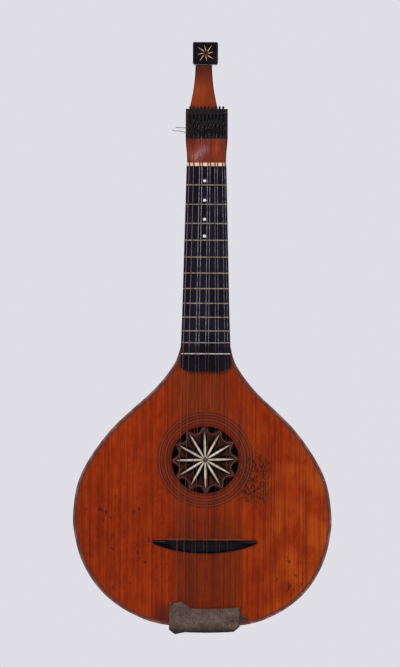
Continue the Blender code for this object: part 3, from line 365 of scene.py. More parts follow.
(rose_left, rose_face, _), (rose_right, _, _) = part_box("rose")
hole_radius = (rose_right - rose_left) / 2 - ROSE_GLUED_WIDTH


def rose_point(reach, angle, lift):
    """Place above the rose's face at a distance and angle from its middle."""
    return Vector((reach * math.cos(angle), rose_face - lift, ROSE_Z + reach * math.sin(angle)))


bm = bmesh.new()
for spoke in range(ROSE_SPOKES):
    tip = ROSE_TURN + ROSE_SECTOR * spoke
    arch = []
    for share in (step / ARCH_STEPS for step in range(ARCH_STEPS + 1)):
        swing = abs(share - 0.5) * 2
        dip = hole_radius - ARCH_DEPTH + ARCH_RISE * swing ** 2.4
        arch.append(rose_point(dip, tip + ROSE_SECTOR * share, BEAD_LIFT))
    add_tube(bm, arch, ARCH_BEAD_RADIUS, 6)
    centre = rose_point(hole_radius - TREFOIL_INSET, tip, BEAD_LIFT)
    trefoil = [
        centre + Vector((math.cos(turn), 0, math.sin(turn))) * TREFOIL_RADIUS
        for turn in (2 * math.pi * step / TREFOIL_STEPS for step in range(TREFOIL_STEPS + 1))
    ]
    add_tube(bm, trefoil, TREFOIL_BEAD_RADIUS, 5)
    for side in (-1, 1):
        rail = []
        for step in range(SPOKE_STEPS + 1):
            reach = SPOKE_START + SPOKE_LENGTH * step / SPOKE_STEPS
            swing = side * math.asin(SPOKE_HALF_WIDTH / reach)
            rail.append(rose_point(reach, tip + swing, SPOKE_BEAD_LIFT))
        add_tube(bm, rail, SPOKE_BEAD_RADIUS, 5)
add_mesh("rose_beading", bm, bead_wood)


# Star on the rose
# Twelve slim ivory rays, each filed to a ridge and glued on the tracery, yellowed and showing the
# ivory's fine lines. A small turned boss covers the place where they meet.

RAY_COUNT = 12
RAY_START = 0.0012
RAY_LENGTH = 0.0322
RAY_HALF_WIDTH = 0.00098
RAY_TIP_HALF_WIDTH = 0.00012
RAY_STEPS = 14
RAY_TURN = math.radians(1.2)
BOSS_RADIUS = 0.0027
BOSS_FLATNESS = 0.3

ivory = Surface("ivory", roughness=0.32, specular=0.5)
lines = ivory.noise((500, 90, 90), 3, 0.55).step(0.35, 0.65)
aged = ivory.noise((120, 60, 120), 4).step(0.3, 0.75)
colour = ivory.mix(aged, (0.66, 0.58, 0.47), (0.36, 0.27, 0.19))
ivory.set("Base Color", ivory.mix(lines * 0.25, colour, (0.38, 0.28, 0.16)))
ivory.bump(lines, 0.0001, 0.2)

(_, star_face, _), (_, star_back, _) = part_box("rose_star")
bm = bmesh.new()
for ray in range(RAY_COUNT):
    turn = Matrix.Rotation(-2 * math.pi * ray / RAY_COUNT - RAY_TURN, 3, "Y")
    spans = []
    for step in range(RAY_STEPS + 1):
        share = step / RAY_STEPS
        aside = RAY_HALF_WIDTH * math.sin(math.pi * share ** 0.8) ** 0.8 + RAY_TIP_HALF_WIDTH
        rise = (star_back - star_face) * (0.35 + 0.65 * math.sin(math.pi * share) ** 0.5)
        along = RAY_START + (RAY_LENGTH - RAY_START) * share
        section = ((-aside, 0), (-aside, rise * 0.35), (0, rise), (aside, rise * 0.35), (aside, 0))
        spans.append([
            turn @ Vector((along, star_back - up, side)) + Vector((0, 0, ROSE_Z)) for side, up in section
        ])
    add_loft(bm, spans)
rays = add_mesh("rose_rays", bm, ivory, smooth=False)
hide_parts("rose_star")

boss = Surface("rose_boss", roughness=0.4)
turned = boss.noise((700, 100, 700)).step(0.4, 0.6)
boss.set("Base Color", boss.mix(turned, (0.020, 0.008, 0.006), (0.07, 0.025, 0.016)))
bm = bmesh.new()
bmesh.ops.create_uvsphere(
    bm, u_segments=24, v_segments=12, radius=BOSS_RADIUS,
    matrix=Matrix.Translation((0, star_face, ROSE_Z)) @ Matrix.Diagonal((1, BOSS_FLATNESS, 1, 1))
)
add_mesh("rose_boss", bm, boss)


# Edge of the body
# A brown wooden binding glued round the soundboard, rubbed pale along its corner, and a dark strip
# of purfling let in beside it. Both stop at the neck.

SAME_HEIGHT = 0.0001
BINDING_WIDTH, BINDING_HEIGHT = 0.0021, 0.00012
PURFLING_WIDTH, PURFLING_HEIGHT = 0.0019, 0.00008

rim = [(round(v.co.x, 6), round(v.co.z, 6)) for v in nodes["back_board"].data.vertices]
rim = sorted(set(rim), key=lambda point: math.atan2(point[0], ROSE_Z - point[1]))
rim_top = max(z for _, z in rim)


def inset_rim(distance):
    """Points of the body's outline moved inwards."""
    moved = []
    for index, (x, z) in enumerate(rim):
        before, after = rim[index - 1], rim[(index + 1) % len(rim)]
        if z > rim_top - SAME_HEIGHT:
            moved.append((x - math.copysign(distance, x), z))
            continue
        along = Vector((after[0] - before[0], after[1] - before[1])).normalized()
        moved.append((x - along.y * distance, z + along.x * distance))
    return moved


def add_band(name, outer, inner, height, surface):
    """A flat inlaid strip that follows the body's outline, open at the neck."""
    bm = bmesh.new()
    lines = []
    for distance, lift in ((outer, 0), (outer, height), (inner, height), (inner, 0)):
        verts = [bm.verts.new((x, FRONT - lift, z)) for x, z in inset_rim(distance)]
        lines.append([
            bm.edges.new((verts[index - 1], verts[index])) for index, (_, z) in enumerate(rim)
            if min(rim[index - 1][1], z) <= rim_top - SAME_HEIGHT
        ])
    for line, following in zip(lines, lines[1:]):
        bmesh.ops.bridge_loops(bm, edges=line + following)
    return add_mesh(name, bm, surface)


binding = Surface("binding", roughness=0.45, specular=0.4)
wear = binding.noise((160, 90, 60), 4).step(0.42, 0.66)
colour = binding.mix(wear, (0.085, 0.022, 0.014), (0.235, 0.085, 0.055))
chips = binding.noise((240, 120, 200), 3).step(0.70, 0.74)
binding.set("Base Color", binding.mix(chips, colour, (0.50, 0.42, 0.38)))
binding.bump(wear + chips, 0.0002, 0.4)

purfling = Surface("purfling", roughness=0.45, specular=0.3)
wear = purfling.noise((120, 40, 90)).step(0.3, 0.7)
purfling.set("Base Color", purfling.mix(wear, (0.035, 0.006, 0.004), (0.10, 0.018, 0.010)))

purfling_inside = BINDING_WIDTH + PURFLING_WIDTH
band = add_band("edge_binding", 0.0, BINDING_WIDTH, BINDING_HEIGHT, binding)
strip = add_band("edge_purfling", BINDING_WIDTH, purfling_inside, PURFLING_HEIGHT, purfling)


# Ribs and back
# Two maple ribs bent to the outline and a flat maple back glued to them, under red-brown varnish
# with a faint flame across the grain. Inside, round the rose, the wood lies in the dark.

INSIDE_DARK = (0.004, 0.002, 0.002)
SHADE_NEAR, SHADE_FAR = 0.060, 0.085

maple = Surface("maple_varnish", roughness=0.30, coat_roughness=0.12, specular=0.12)
flame = maple.noise((22, 22, 210), 3, 0.5, 0.4).step(0.35, 0.65)
streaks = maple.noise((420, 420, 10), 4, 0.6).step(0.35, 0.7)
colour = maple.mix(flame * 0.55, (0.155, 0.028, 0.010), (0.28, 0.062, 0.018))
colour = maple.mix(streaks * 0.3, colour, (0.08, 0.014, 0.007))
rubbed = maple.noise((30, 30, 26), 4).step(0.60, 0.74)
colour = maple.mix(rubbed * 0.35, colour, (0.34, 0.12, 0.045))

# The back's outer face leans, so its place front to back is worked out from its top and foot
back = [v.co for v in nodes["back_board"].data.vertices]
top_of_back = max(back, key=lambda point: (round(point.z, 4), point.y))
foot_of_back = min(back, key=lambda point: (round(point.z, 4), -point.y))
slope = (top_of_back.y - foot_of_back.y) / (top_of_back.z - foot_of_back.z)
outer_face = foot_of_back.y + (maple.z - foot_of_back.z) * slope
inside = 1 - (maple.y - outer_face).step(-0.0015, -0.0010)
under_rose = 1 - maple.reach(0.0, ROSE_Z).step(SHADE_NEAR, SHADE_FAR)
maple.set("Base Color", maple.mix(under_rose * inside * 0.97, colour, INSIDE_DARK))
maple.set("Coat Weight", 0.3 * (1 - inside))
maple.set("Roughness", 0.26 + rubbed * 0.2)
maple.bump(flame * 0.2 + streaks * 0.3, 0.0002, 0.3)
dress(maple, "rib_bass", "rib_treble", "back_board")


# Bars and tail block
# Plain unvarnished wood, glued inside the body before it is closed. It is seen only through the
# rose, and there it lies in the dark.

raw = Surface("bare_wood", roughness=0.85, specular=0.1)
shadow = 1 - raw.reach(0.0, ROSE_Z).step(SHADE_NEAR, SHADE_FAR)
fibres = raw.noise((90, 300, 300), 4).step(0.3, 0.7)
colour = raw.mix(fibres, (0.30, 0.17, 0.08), (0.45, 0.29, 0.15))
raw.set("Base Color", raw.mix(shadow * 0.96, colour, (0.006, 0.003, 0.003)))
dress(raw, "upper_bar", "lower_bar", "back_bar", "tail_block")


# Neck
# One length of wood from stem to heel, glued into the body, under a deep glossy varnish: orange on
# the stem. Painted shade darkens the stem's edges, under the finial and the head's sides, and
# turns nearly black on the cheeks beside the tuning machine.

STEM_SIDE_SHIFT = 0.0036
STEM_TOP_HALF = 0.0093
STEM_FLARE = 0.0076
CHEEK_START = 0.0178
MACHINE_MIDDLE_Z, MACHINE_HALF_HEIGHT = -0.0640, 0.0140
STEM_FOOT_Z = -0.050
FLANK_START = 0.0180

neck_wood = Surface("neck_varnish", roughness=0.28, coat=0.22, coat_roughness=0.03, specular=0.03)
streaks = neck_wood.noise((520, 300, 13), 4, 0.6).step(0.35, 0.7)
patches = neck_wood.noise((60, 60, 34), 4).step(0.35, 0.68)
colour = neck_wood.mix(patches, (0.135, 0.014, 0.003), (0.285, 0.038, 0.006))
colour = neck_wood.mix(streaks * 0.45, colour, (0.060, 0.010, 0.006))

on_stem = neck_wood.z.step(-0.046, -0.036)
stem_colour = neck_wood.mix(streaks, (0.270, 0.044, 0.003), (0.150, 0.018, 0.002))
colour = neck_wood.mix(on_stem * 0.6, colour, stem_colour)
# Painted shade along the edges of the stem
stem_half = STEM_TOP_HALF + (1 - neck_wood.z.step(STEM_FOOT_Z, 0.004)) * STEM_FLARE
past_edge = (neck_wood.x + STEM_SIDE_SHIFT).math("ABSOLUTE") - stem_half
stem_edge_shade = past_edge.step(-0.0032, -0.0006) * on_stem
colour = neck_wood.mix(stem_edge_shade * 0.8, colour, (0.030, 0.008, 0.006))
# Painted shadow under the overhanging finial
finial_shadow = neck_wood.z.step(-0.030, 0.002)
colour = neck_wood.mix(finial_shadow * 0.8, colour, (0.040, 0.006, 0.003))

from_middle = neck_wood.x.math("ABSOLUTE")
below_stem = 1 - neck_wood.z.step(STEM_FOOT_Z, -0.047)
# Painted shade along the head's sides below the stem
flank_shade = (from_middle - FLANK_START).step(0.0005, 0.0040) * below_stem
colour = neck_wood.mix(flank_shade * 0.5, colour, (0.045, 0.010, 0.008))
# Painted shade, near black, on the cheeks beside the tuning machine
beside_machine = neck_wood.z.band(MACHINE_MIDDLE_Z, MACHINE_HALF_HEIGHT, 0.0015)
cheek_shade = from_middle.step(CHEEK_START, CHEEK_START + 0.0014) * beside_machine
neck_wood.set("Base Color", neck_wood.mix(cheek_shade * 0.95, colour, (0.014, 0.006, 0.008)))
neck_wood.set("Roughness", 0.22 + patches * 0.14)
neck_wood.bump(streaks, 0.00015, 0.3)
dress(neck_wood, "neck")


# Fingerboard
# A cambered strip of black wood glued on the neck, with a violet sheen painted into its colour and
# duller patches where fingers rubbed it between the frets.

black = Surface("ebony_fingerboard", roughness=0.34, specular=0.04)
pores = black.noise((1500, 200, 40), 4, 0.6).step(0.45, 0.7)
rub = black.noise((60, 20, 30), 4).step(0.35, 0.7)
# The violet in both colours is painted sheen; the lighter, rougher patches are where fingers rubbed
colour = black.mix(rub * 0.8, (0.004, 0.0036, 0.0075), (0.012, 0.0105, 0.021))
black.set("Base Color", black.mix(pores * 0.35, colour, (0.014, 0.011, 0.016)))
black.set("Roughness", 0.28 + rub * 0.18)
black.bump(pores, 0.0001, 0.25)
dress(black, "fingerboard")


# Frets
# Twelve brass strips driven into saw cuts in the fingerboard, worn and tarnished. The last one is
# cleaner than the others.

brass = Surface("fret_brass", roughness=0.34, metallic=1.0)
tarnish = brass.noise((300, 100, 300), 4).step(0.35, 0.7)
brass.set("Base Color", brass.mix(tarnish, (0.42, 0.33, 0.24), (0.16, 0.115, 0.085)))
brass.set("Roughness", 0.28 + tarnish * 0.25)
dress(brass, *[f"fret_{number:02d}" for number in range(1, 12)])
bright = Surface("last_fret", roughness=0.26, metallic=1.0)
tarnish = bright.noise((300, 100, 300)).step(0.4, 0.8)
bright.set("Base Color", bright.mix(tarnish, (0.72, 0.66, 0.62), (0.40, 0.33, 0.30)))
dress(bright, "fret_12")


# Nut
# A strip of bone glued across the end of the fingerboard, filed with a notch for each string. The
# notches are painted dark as shade.

STRINGS = [f"{number:02d}" for number in range(1, 11)]
NUT_LOW_Z, NUT_TOP_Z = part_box("nut")[0][2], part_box("nut")[1][2]
NOTCH_SHADE_SHIFT = 0.0004


def at_nut(number):
    """Points of a string where it leaves the nut's upper edge."""
    points = [v.co for v in nodes[f"string_{number}"].data.vertices]
    return [point for point in points if abs(point.z - NUT_TOP_Z) < 0.0008]


bone = Surface("nut_bone", roughness=0.36, specular=0.3)
aged = bone.noise((160, 60, 160), 4).step(0.3, 0.75)
colour = bone.mix(aged, (0.78, 0.53, 0.38), (0.50, 0.30, 0.19))
# Painted shade in the notches, a little to one side of each string
notch_shade = 0.0
for number in STRINGS:
    places = [point.x for point in at_nut(number)]
    middle = sum(places) / len(places) + NOTCH_SHADE_SHIFT
    notch_shade = bone.x.band(middle, 0.0004, 0.0007) + notch_shade
bone.set("Base Color", bone.mix(notch_shade.math("MINIMUM", 1.0) * 0.92, colour, (0.030, 0.014, 0.012)))
dress(bone, "nut")


# Finial
# A polished ebony block glued on top of the stem. Eight slim kites of ivory are let into its face,
# four long and four short, slightly swirled round a dark middle.

polished = Surface("ebony_polished", roughness=0.2, coat=0.05, coat_roughness=0.06, specular=0.05)
dull = polished.noise((90, 90, 60), 4).step(0.4, 0.75)
polished.set("Base Color", polished.mix(dull, (0.0025, 0.0018, 0.0025), (0.008, 0.006, 0.009)))
polished.set("Roughness", 0.14 + dull * 0.22)
dress(polished, "finial")

STAR_RAYS = 8
STAR_TURN = math.radians(2)
STAR_SIDE_SHIFT = 0.0003
LONG_RAY, SHORT_RAY = 0.0116, 0.0094
SWIRL = 0.0010
# Share of the ray's length and distance to one side, for the four corners of a kite
KITE = ((0.05, 0.0), (0.36, -0.0008), (1.0, 0.0003), (0.36, 0.0004))
STAR_SUNK, STAR_PROUD = 0.0003, 0.00015

finial_low, finial_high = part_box("finial")
star_x = (finial_low[0] + finial_high[0]) / 2 + STAR_SIDE_SHIFT
star_z = (finial_low[2] + finial_high[2]) / 2

star_ivory = Surface("finial_star_ivory", roughness=0.35, specular=0.3)
yellowed = star_ivory.noise((500, 90, 500), 3).step(0.35, 0.7)
colour = star_ivory.mix(yellowed, (0.58, 0.40, 0.25), (0.34, 0.19, 0.10))
near_middle = 1 - star_ivory.reach(star_x, star_z).step(0.0016, 0.0055)
star_ivory.set("Base Color", star_ivory.mix(near_middle, colour, (0.075, 0.020, 0.010)))

bm = bmesh.new()
for ray in range(STAR_RAYS):
    angle = 2 * math.pi * ray / STAR_RAYS + STAR_TURN
    length = LONG_RAY if ray % 2 else SHORT_RAY
    kite = []
    for share, aside in KITE:
        along, side = length * share, aside + SWIRL * share * share
        kite.append((
            star_x + along * math.cos(angle) - side * math.sin(angle),
            star_z + along * math.sin(angle) + side * math.cos(angle),
        ))
    depths = (finial_low[1] + STAR_SUNK, finial_low[1] - STAR_PROUD)
    add_loft(bm, [[(x, y, z) for x, z in kite] for y in depths])
add_mesh("finial_star", bm, star_ivory, smooth=False)


# Tuning machine
# A blackened iron frame let into the head, with ten steel screws that a watch key turns and ten
# hooks that they draw along the slots. The thread winds round the hidden part of each screw.

HEAD_TILT = math.radians(8)
THREAD_PITCH = 0.0008
THREAD_TURNS = 29
THREAD_RADIUS = 0.00088
THREAD_WIRE_RADIUS = 0.00016
THREAD_START_ABOVE_FOOT = 0.0275
SCREW_AXIS_BEHIND_FACE = 0.0010

iron = Surface("machine_iron", roughness=0.45, metallic=0.85)
rust = iron.noise((340, 340, 340), 5, 0.65).step(0.42, 0.68)
colour = iron.mix(rust, (0.006, 0.0055, 0.007), (0.012, 0.007, 0.006))
rubbed = iron.noise((900, 900, 120), 3).step(0.55, 0.75)
iron.set("Base Color", iron.mix(rubbed * 0.3, colour, (0.034, 0.030, 0.030)))
iron.set("Roughness", 0.36 + rust * 0.28)
iron.bump(rust, 0.0001, 0.5)
dress(iron, "machine_frame")

steel = Surface("screw_steel", roughness=0.35, metallic=1.0)
scuffs = steel.noise((800, 800, 500), 4).step(0.4, 0.65)
steel.set("Base Color", steel.mix(scuffs, (0.022, 0.018, 0.018), (0.006, 0.005, 0.005)))
dress(steel, *[f"tuning_screw_{number}" for number in STRINGS])

hook_steel = Surface("hook_steel", roughness=0.32, metallic=1.0)
scuffs = hook_steel.noise((700, 700, 700), 4).step(0.35, 0.7)
hook_steel.set("Base Color", hook_steel.mix(scuffs, (0.045, 0.040, 0.040), (0.010, 0.009, 0.009)))
dress(hook_steel, *[f"string_hook_{number}" for number in STRINGS])

lean = Matrix.Rotation(-HEAD_TILT, 3, "X")
down_screw = lean @ Vector((0, 0, -1))
for number in STRINGS:
    low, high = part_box(f"tuning_screw_{number}")
    foot = Vector(((low[0] + high[0]) / 2, low[1] + SCREW_AXIS_BEHIND_FACE, low[2]))
    start = foot - down_screw * THREAD_START_ABOVE_FOOT
    helix = []
    for eighth in range(THREAD_TURNS * 8 + 1):
        turn = 2 * math.pi * eighth / 8
        spoke = lean @ Vector((math.cos(turn), -math.sin(turn), 0)) * THREAD_RADIUS
        helix.append(start + down_screw * (THREAD_PITCH * eighth / 8) + spoke)
    bm = bmesh.new()
    add_tube(bm, helix, THREAD_WIRE_RADIUS, 4)
    add_mesh(f"screw_thread_{number}", bm, steel, f"screw_{number}")


# Tail saddle
# A small ebony block glued on the tail's edge, under the cloth. The strings turn down over it to
# their pins.

dress(polished, "tail_saddle")


# Bridge
# A polished ebony bar that the strings' pressure holds on the board: straight towards the neck,
# bellied towards the tail. Old glue and varnish show as a line along its straight edge.

BRIDGE_SEAT = 0.0003
BRIDGE_LEVEL_HALF = 0.033
BRIDGE_END_FALL = 0.0030
BRIDGE_TIP = 0.0045
BRIDGE_STATIONS = 96
CROWN_START, CROWN_WIDTH = 0.0014, 0.0020

(bridge_left, bridge_front, bridge_foot), (bridge_right, _, bridge_edge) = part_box("bridge")
bridge_half = (bridge_right - bridge_left) / 2
bridge_height = FRONT - bridge_front
ridge = [
    v.co for v in nodes["bridge"].data.vertices
    if abs(v.co.x) < BRIDGE_LEVEL_HALF and v.co.z > bridge_edge - 0.004
]
shoulder = max(ridge, key=lambda point: (round(abs(point.x), 4), -point.y))
camber = (shoulder.y - bridge_front) / shoulder.x ** 2


def bridge_section(x):
    """Cross-section at x: a rounded crown near the straight edge and a long slope to the belly."""
    past = max(abs(x) - BRIDGE_LEVEL_HALF, 0) / (bridge_half - BRIDGE_LEVEL_HALF)
    tall = bridge_height - camber * x * x - BRIDGE_END_FALL * past ** 2
    bow = math.cos(math.pi / 2 * abs(x) / (bridge_half + BRIDGE_TIP)) ** 0.6
    belly = (bridge_edge - bridge_foot) * bow
    start, crown = min(CROWN_START, belly * 0.2), min(CROWN_WIDTH, belly * 0.4)
    section = [(0, 0), (start * 0.12, tall * 0.45), (start * 0.3, tall * 0.75)]
    section += [(start * 0.62, tall * 0.94), (start, tall)]
    section += [(start + crown * 0.6, tall * 0.998), (start + crown, tall * 0.98)]
    for share in (0.12, 0.25, 0.4, 0.55, 0.7, 0.85):
        down = start + crown + (belly - start - crown) * share
        section.append((down, tall * (0.98 - 0.82 * share)))
    section += [(belly, tall * 0.13), (belly, 0)]
    seated = 1 - BRIDGE_SEAT / tall
    return [(x, FRONT - BRIDGE_SEAT - up * seated, bridge_edge - down) for down, up in section]


bm = bmesh.new()
add_loft(bm, [
    bridge_section(bridge_half * math.sin(math.pi * (station / BRIDGE_STATIONS - 0.5)))
    for station in range(BRIDGE_STATIONS + 1)
])
piece = add_mesh("bridge_smooth", bm, polished)
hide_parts("bridge")

glue = Surface("bridge_glue_line", roughness=0.5)
patches = glue.noise((200, 60, 200)).step(0.35, 0.65)
glue.set("Base Color", glue.mix(patches, (0.07, 0.012, 0.006), (0.17, 0.035, 0.014)))

GLUE_STEPS = 40
GLUE_SHARE = 0.965
glue_half = bridge_half * GLUE_SHARE
bm = bmesh.new()
add_loft(bm, [
    [
        (glue_half * share, FRONT - lift, bridge_edge + out * (1 - share ** 6))
        for lift, out in ((0.0001, 0.0014), (0.0006, 0.0010), (0.0006, 0.0), (0.0001, 0.0))
    ]
    for share in (step * 2 / GLUE_STEPS - 1 for step in range(GLUE_STEPS + 1))
])
add_mesh("bridge_border", bm, glue)


# Strings
# Two overspun basses and eight plain wires. Each runs from the tail over the bridge and the nut to
# its hook, and ends in a loop closed with a tight wrap. Two cut ends stand out beside the bass hook.

OVERSPUN_COUNT = 2
# Angle of the wave of the windings over one metre
WINDING_TURN = 9000
BRIGHT_FROM_Z, BRIGHT_TO_Z = NUT_LOW_Z - 0.205, NUT_LOW_Z - 0.195
WRAP_SPACING = 0.00052
WRAP_RADIUS = 0.00062
WRAP_WIRE_RADIUS = 0.00024
WRAP_BELOW_LOOP = 0.0004
LOOSE_WIRE_RADIUS = 0.00034
LOOSE_WIRE_BEHIND_HOOK = 0.0006
# For each loose end, its height above the hook's foot and the places along and above that it passes
LOOSE_WIRES = (
    (0.0016, ((-0.0146, 0.0006), (-0.008, 0.0001), (0.0004, 0.0))),
    (-0.0010, (
        (-0.0186, 0.0004), (-0.0155, -0.0008), (-0.0110, -0.0007),
        (-0.0042, -0.0022), (0.0004, -0.0022),
    )),
)

wire = Surface("string_wire", roughness=0.38, metallic=0.9)
patina = wire.noise((60, 60, 240), 3).step(0.35, 0.7)
# Painted light and shade: the wire is lighter over the fingerboard as sheen, browner over the soundboard
# as its reflection, and dark above the nut as shade
board_reflection = wire.mix(patina, (0.115, 0.050, 0.034), (0.045, 0.014, 0.009))
fret_sheen = wire.mix(patina, (0.34, 0.32, 0.34), (0.11, 0.10, 0.11))
colour = wire.mix(wire.z.step(BRIGHT_FROM_Z, BRIGHT_TO_Z), board_reflection, fret_sheen)
above_nut_shade = wire.z.step(NUT_LOW_Z, NUT_TOP_Z)
wire.set("Base Color", wire.mix(above_nut_shade * 0.9, colour, (0.050, 0.022, 0.018)))

overspun = Surface("bass_string_wire", roughness=0.42, metallic=0.9)
winding = (overspun.z * WINDING_TURN).math("SINE")
colour = overspun.mix(winding.step(-0.6, 0.6), (0.08, 0.055, 0.05), (0.22, 0.18, 0.17))
# As on the plain wires: browner over the soundboard as painted reflection, dark above the nut as painted
# shade
board_reflection = 1 - overspun.z.step(BRIGHT_FROM_Z, BRIGHT_TO_Z)
colour = overspun.mix(board_reflection, colour, (0.095, 0.040, 0.028))
above_nut_shade = overspun.z.step(NUT_LOW_Z, NUT_TOP_Z)
overspun.set("Base Color", overspun.mix(above_nut_shade * 0.9, colour, (0.040, 0.018, 0.015)))
overspun.bump(winding, 0.0001, 0.6)

wrap_wire = Surface("string_wrap", roughness=0.3, metallic=1.0)
scuffs = wrap_wire.noise((500, 500, 500)).step(0.35, 0.7)
wrap_wire.set("Base Color", wrap_wire.mix(scuffs, (0.060, 0.050, 0.048), (0.016, 0.013, 0.012)))


def copy_node(node, name, surface):
    """A piece with a copy of a CAD node's mesh."""
    piece = bpy.data.objects.new(name, nodes[node].data.copy())
    scene.collection.objects.link(piece)
    piece.data.materials.clear()
    piece.data.materials.append(surface.material)
    return piece


for index, number in enumerate(STRINGS):
    finish = overspun if index < OVERSPUN_COUNT else wire
    piece = copy_node(f"string_{number}", f"wire_{number}", finish)
    piece.data.shade_smooth()
    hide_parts(f"string_{number}")

    above = [v.co for v in nodes[f"string_{number}"].data.vertices if v.co.z > NUT_TOP_Z + 0.003]
    lowest = min(point.z for point in above)
    near_nut = [point for point in above if point.z < lowest + 0.0006]
    loop_end = sum(near_nut, Vector()) / len(near_nut)
    nut_points = at_nut(number)
    nut_end = sum(nut_points, Vector()) / len(nut_points)
    along = (nut_end - loop_end).normalized()
    aside = along.orthogonal().normalized()
    third = along.cross(aside)

    turns = 9 + (index + 1) % 3
    coil = []
    for eighth in range(turns * 8 + 1):
        turn = 2 * math.pi * eighth / 8
        spoke = aside * math.cos(turn) + third * math.sin(turn)
        reach = WRAP_BELOW_LOOP + WRAP_SPACING * eighth / 8
        coil.append(loop_end + along * reach + spoke * WRAP_RADIUS)
    bm = bmesh.new()
    add_tube(bm, coil, WRAP_WIRE_RADIUS, 5)
    wrap = add_mesh(f"string_wrap_{number}", bm, wrap_wire, None)
    for moving in (piece, wrap):
        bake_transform(moving)

hook_foot = Vector(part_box("string_hook_01")[0])
bm = bmesh.new()
for rise, bends in LOOSE_WIRES:
    path = [hook_foot + Vector((along, LOOSE_WIRE_BEHIND_HOOK, rise + up)) for along, up in bends]
    add_tube(bm, path, LOOSE_WIRE_RADIUS, 6)
add_mesh("loose_wire_ends", bm, wrap_wire, "hook_01")


# String cover
# A strip of ribbed cloth over the string ends, turned under round the tail, where painted shade
# darkens it. It is bunched at its top left corner, frayed on the right and has a small hole,
# painted as a dark spot of shade. A bit of wire sticks out above it.

TAIL_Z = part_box("back_board")[0][2]
HOLE_X, HOLE_Z = 0.0310, -0.6190
RAISED_HALF = 0.034
FOLD_DEPTH = 0.006
CORNER_DROP = 0.0032
# Angle of the wave of the ribs and of the weft over one metre
RIBS_TURN, WEFT_TURN = 5200, 6800

cloth = Surface("cover_cloth", roughness=0.95, specular=0.15)
ribs = (cloth.x * RIBS_TURN + cloth.noise((300, 60, 60), 2) * 3).math("SINE")
weft = (cloth.z * WEFT_TURN + cloth.noise((60, 60, 300), 2) * 3).math("SINE")
fuzz = cloth.noise((900, 900, 600), 4).step(0.3, 0.7)
dirt = cloth.noise((90, 60, 110), 4).step(0.35, 0.7)
weave = cloth.noise((1500, 500, 420), 4, 0.7).step(0.35, 0.65)
colour = cloth.mix(dirt * 0.6 + weave * 0.4, (0.070, 0.043, 0.032), (0.240, 0.165, 0.128))
colour = cloth.mix(ribs.step(-0.5, 0.8) * weave * 0.55, colour, (0.34, 0.25, 0.20))
colour = cloth.mix(fuzz * 0.5, colour, (0.036, 0.023, 0.017))
# Painted shade where the cloth turns under round the tail
turned_under_shade = 1 - cloth.z.step(TAIL_Z - 0.006, TAIL_Z + 0.003)
colour = cloth.mix(turned_under_shade * 0.85, colour, (0.020, 0.016, 0.014))
# The hole is not cut: painted shade makes a dark spot where it is
hole_shade = 1 - (cloth.reach(HOLE_X, HOLE_Z) + fuzz * 0.0012).step(0.0010, 0.0022)
cloth.set("Base Color", cloth.mix(hole_shade * 0.9, colour, (0.018, 0.010, 0.009)))
cloth.bump(ribs * 0.6 + weft * 0.35 + fuzz * 0.8 + weave, 0.0005, 0.9)


def share_past(value, start, length):
    """0 up to the start, growing to 1 over a length."""
    return min(1.0, max(0.0, (value - start) / length))


cover = copy_node("string_cover", "cover_cloth", cloth)
(cover_left, _, _), (cover_right, _, cover_top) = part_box("string_cover")
bm = bmesh.new()
bm.from_mesh(cover.data)
bmesh.ops.remove_doubles(bm, verts=bm.verts, dist=0.00001)
bmesh.ops.subdivide_edges(bm, edges=bm.edges[:], cuts=1, use_grid_fill=True, smooth=0.0)
for vert in bm.verts:
    x, y, z = vert.co
    raised = share_past(-abs(x), -RAISED_HALF, 0.006) if y < FRONT + 0.004 else 0.0
    wave = 0.00035 * math.sin(x * 310 + z * 90) + 0.00022 * math.sin(x * 720 - z * 210)
    ruffle = 0.0006 * math.sin(x * 900) * max(0.0, (z - cover_top + FOLD_DEPTH) / FOLD_DEPTH)
    drop = CORNER_DROP * share_past(-x, 0.022, 0.012) * share_past(-z, -TAIL_Z - 0.008, 0.008)
    vert.co.y -= (wave + 0.0002) * raised
    vert.co.z += ruffle - drop
bmesh.ops.recalc_face_normals(bm, faces=bm.faces)
bm.to_mesh(cover.data)
bm.free()
cover.data.shade_smooth()
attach(cover, "instrument")
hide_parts("string_cover")

FRAY_COUNT, FRAY_RADIUS = 26, 0.00022
BUNCH_COUNT, BUNCH_RADIUS = 34, 0.00030
THREAD_POINTS = 6

rng = random.Random(17)
bm = bmesh.new()
for strand in range(FRAY_COUNT):
    start_z = TAIL_Z + 0.0040 + 0.0090 * strand / FRAY_COUNT + rng.uniform(-0.0004, 0.0004)
    length = rng.uniform(0.006, 0.0125) * (1 - 0.45 * abs(strand * 2 / FRAY_COUNT - 1))
    path = []
    for share in (step / (THREAD_POINTS - 1) for step in range(THREAD_POINTS)):
        path.append(Vector((
            cover_right - 0.0012 + length * share,
            FRONT - 0.0007 - 0.0004 * math.sin(3 * share + strand),
            start_z + 0.0022 * share * share + rng.uniform(-0.0002, 0.0002) + length * share * 0.10,
        )))
    add_tube(bm, path, FRAY_RADIUS, 5)
frayed = add_mesh("frayed_edge", bm, cloth)

bm = bmesh.new()
for strand in range(BUNCH_COUNT):
    base_x = cover_left + 0.0012 + 0.0190 * strand / BUNCH_COUNT
    length = 0.0086 - 0.0030 * strand / BUNCH_COUNT
    path = []
    for share in (step / (THREAD_POINTS - 1) for step in range(THREAD_POINTS)):
        path.append(Vector((
            base_x + rng.uniform(-0.0006, 0.0006) + 0.0012 * share * math.sin(strand * 1.7),
            FRONT - 0.0026 - 0.0016 * math.sin(math.pi * share) - rng.uniform(0, 0.0003),
            cover_top - 0.0090 + length * share + rng.uniform(-0.0003, 0.0003),
        )))
    add_tube(bm, path, BUNCH_RADIUS, 5)
bunched = add_mesh("bunched_threads", bm, cloth)

# Row of the photo at the height of the origin
ORIGIN_ROW = 68
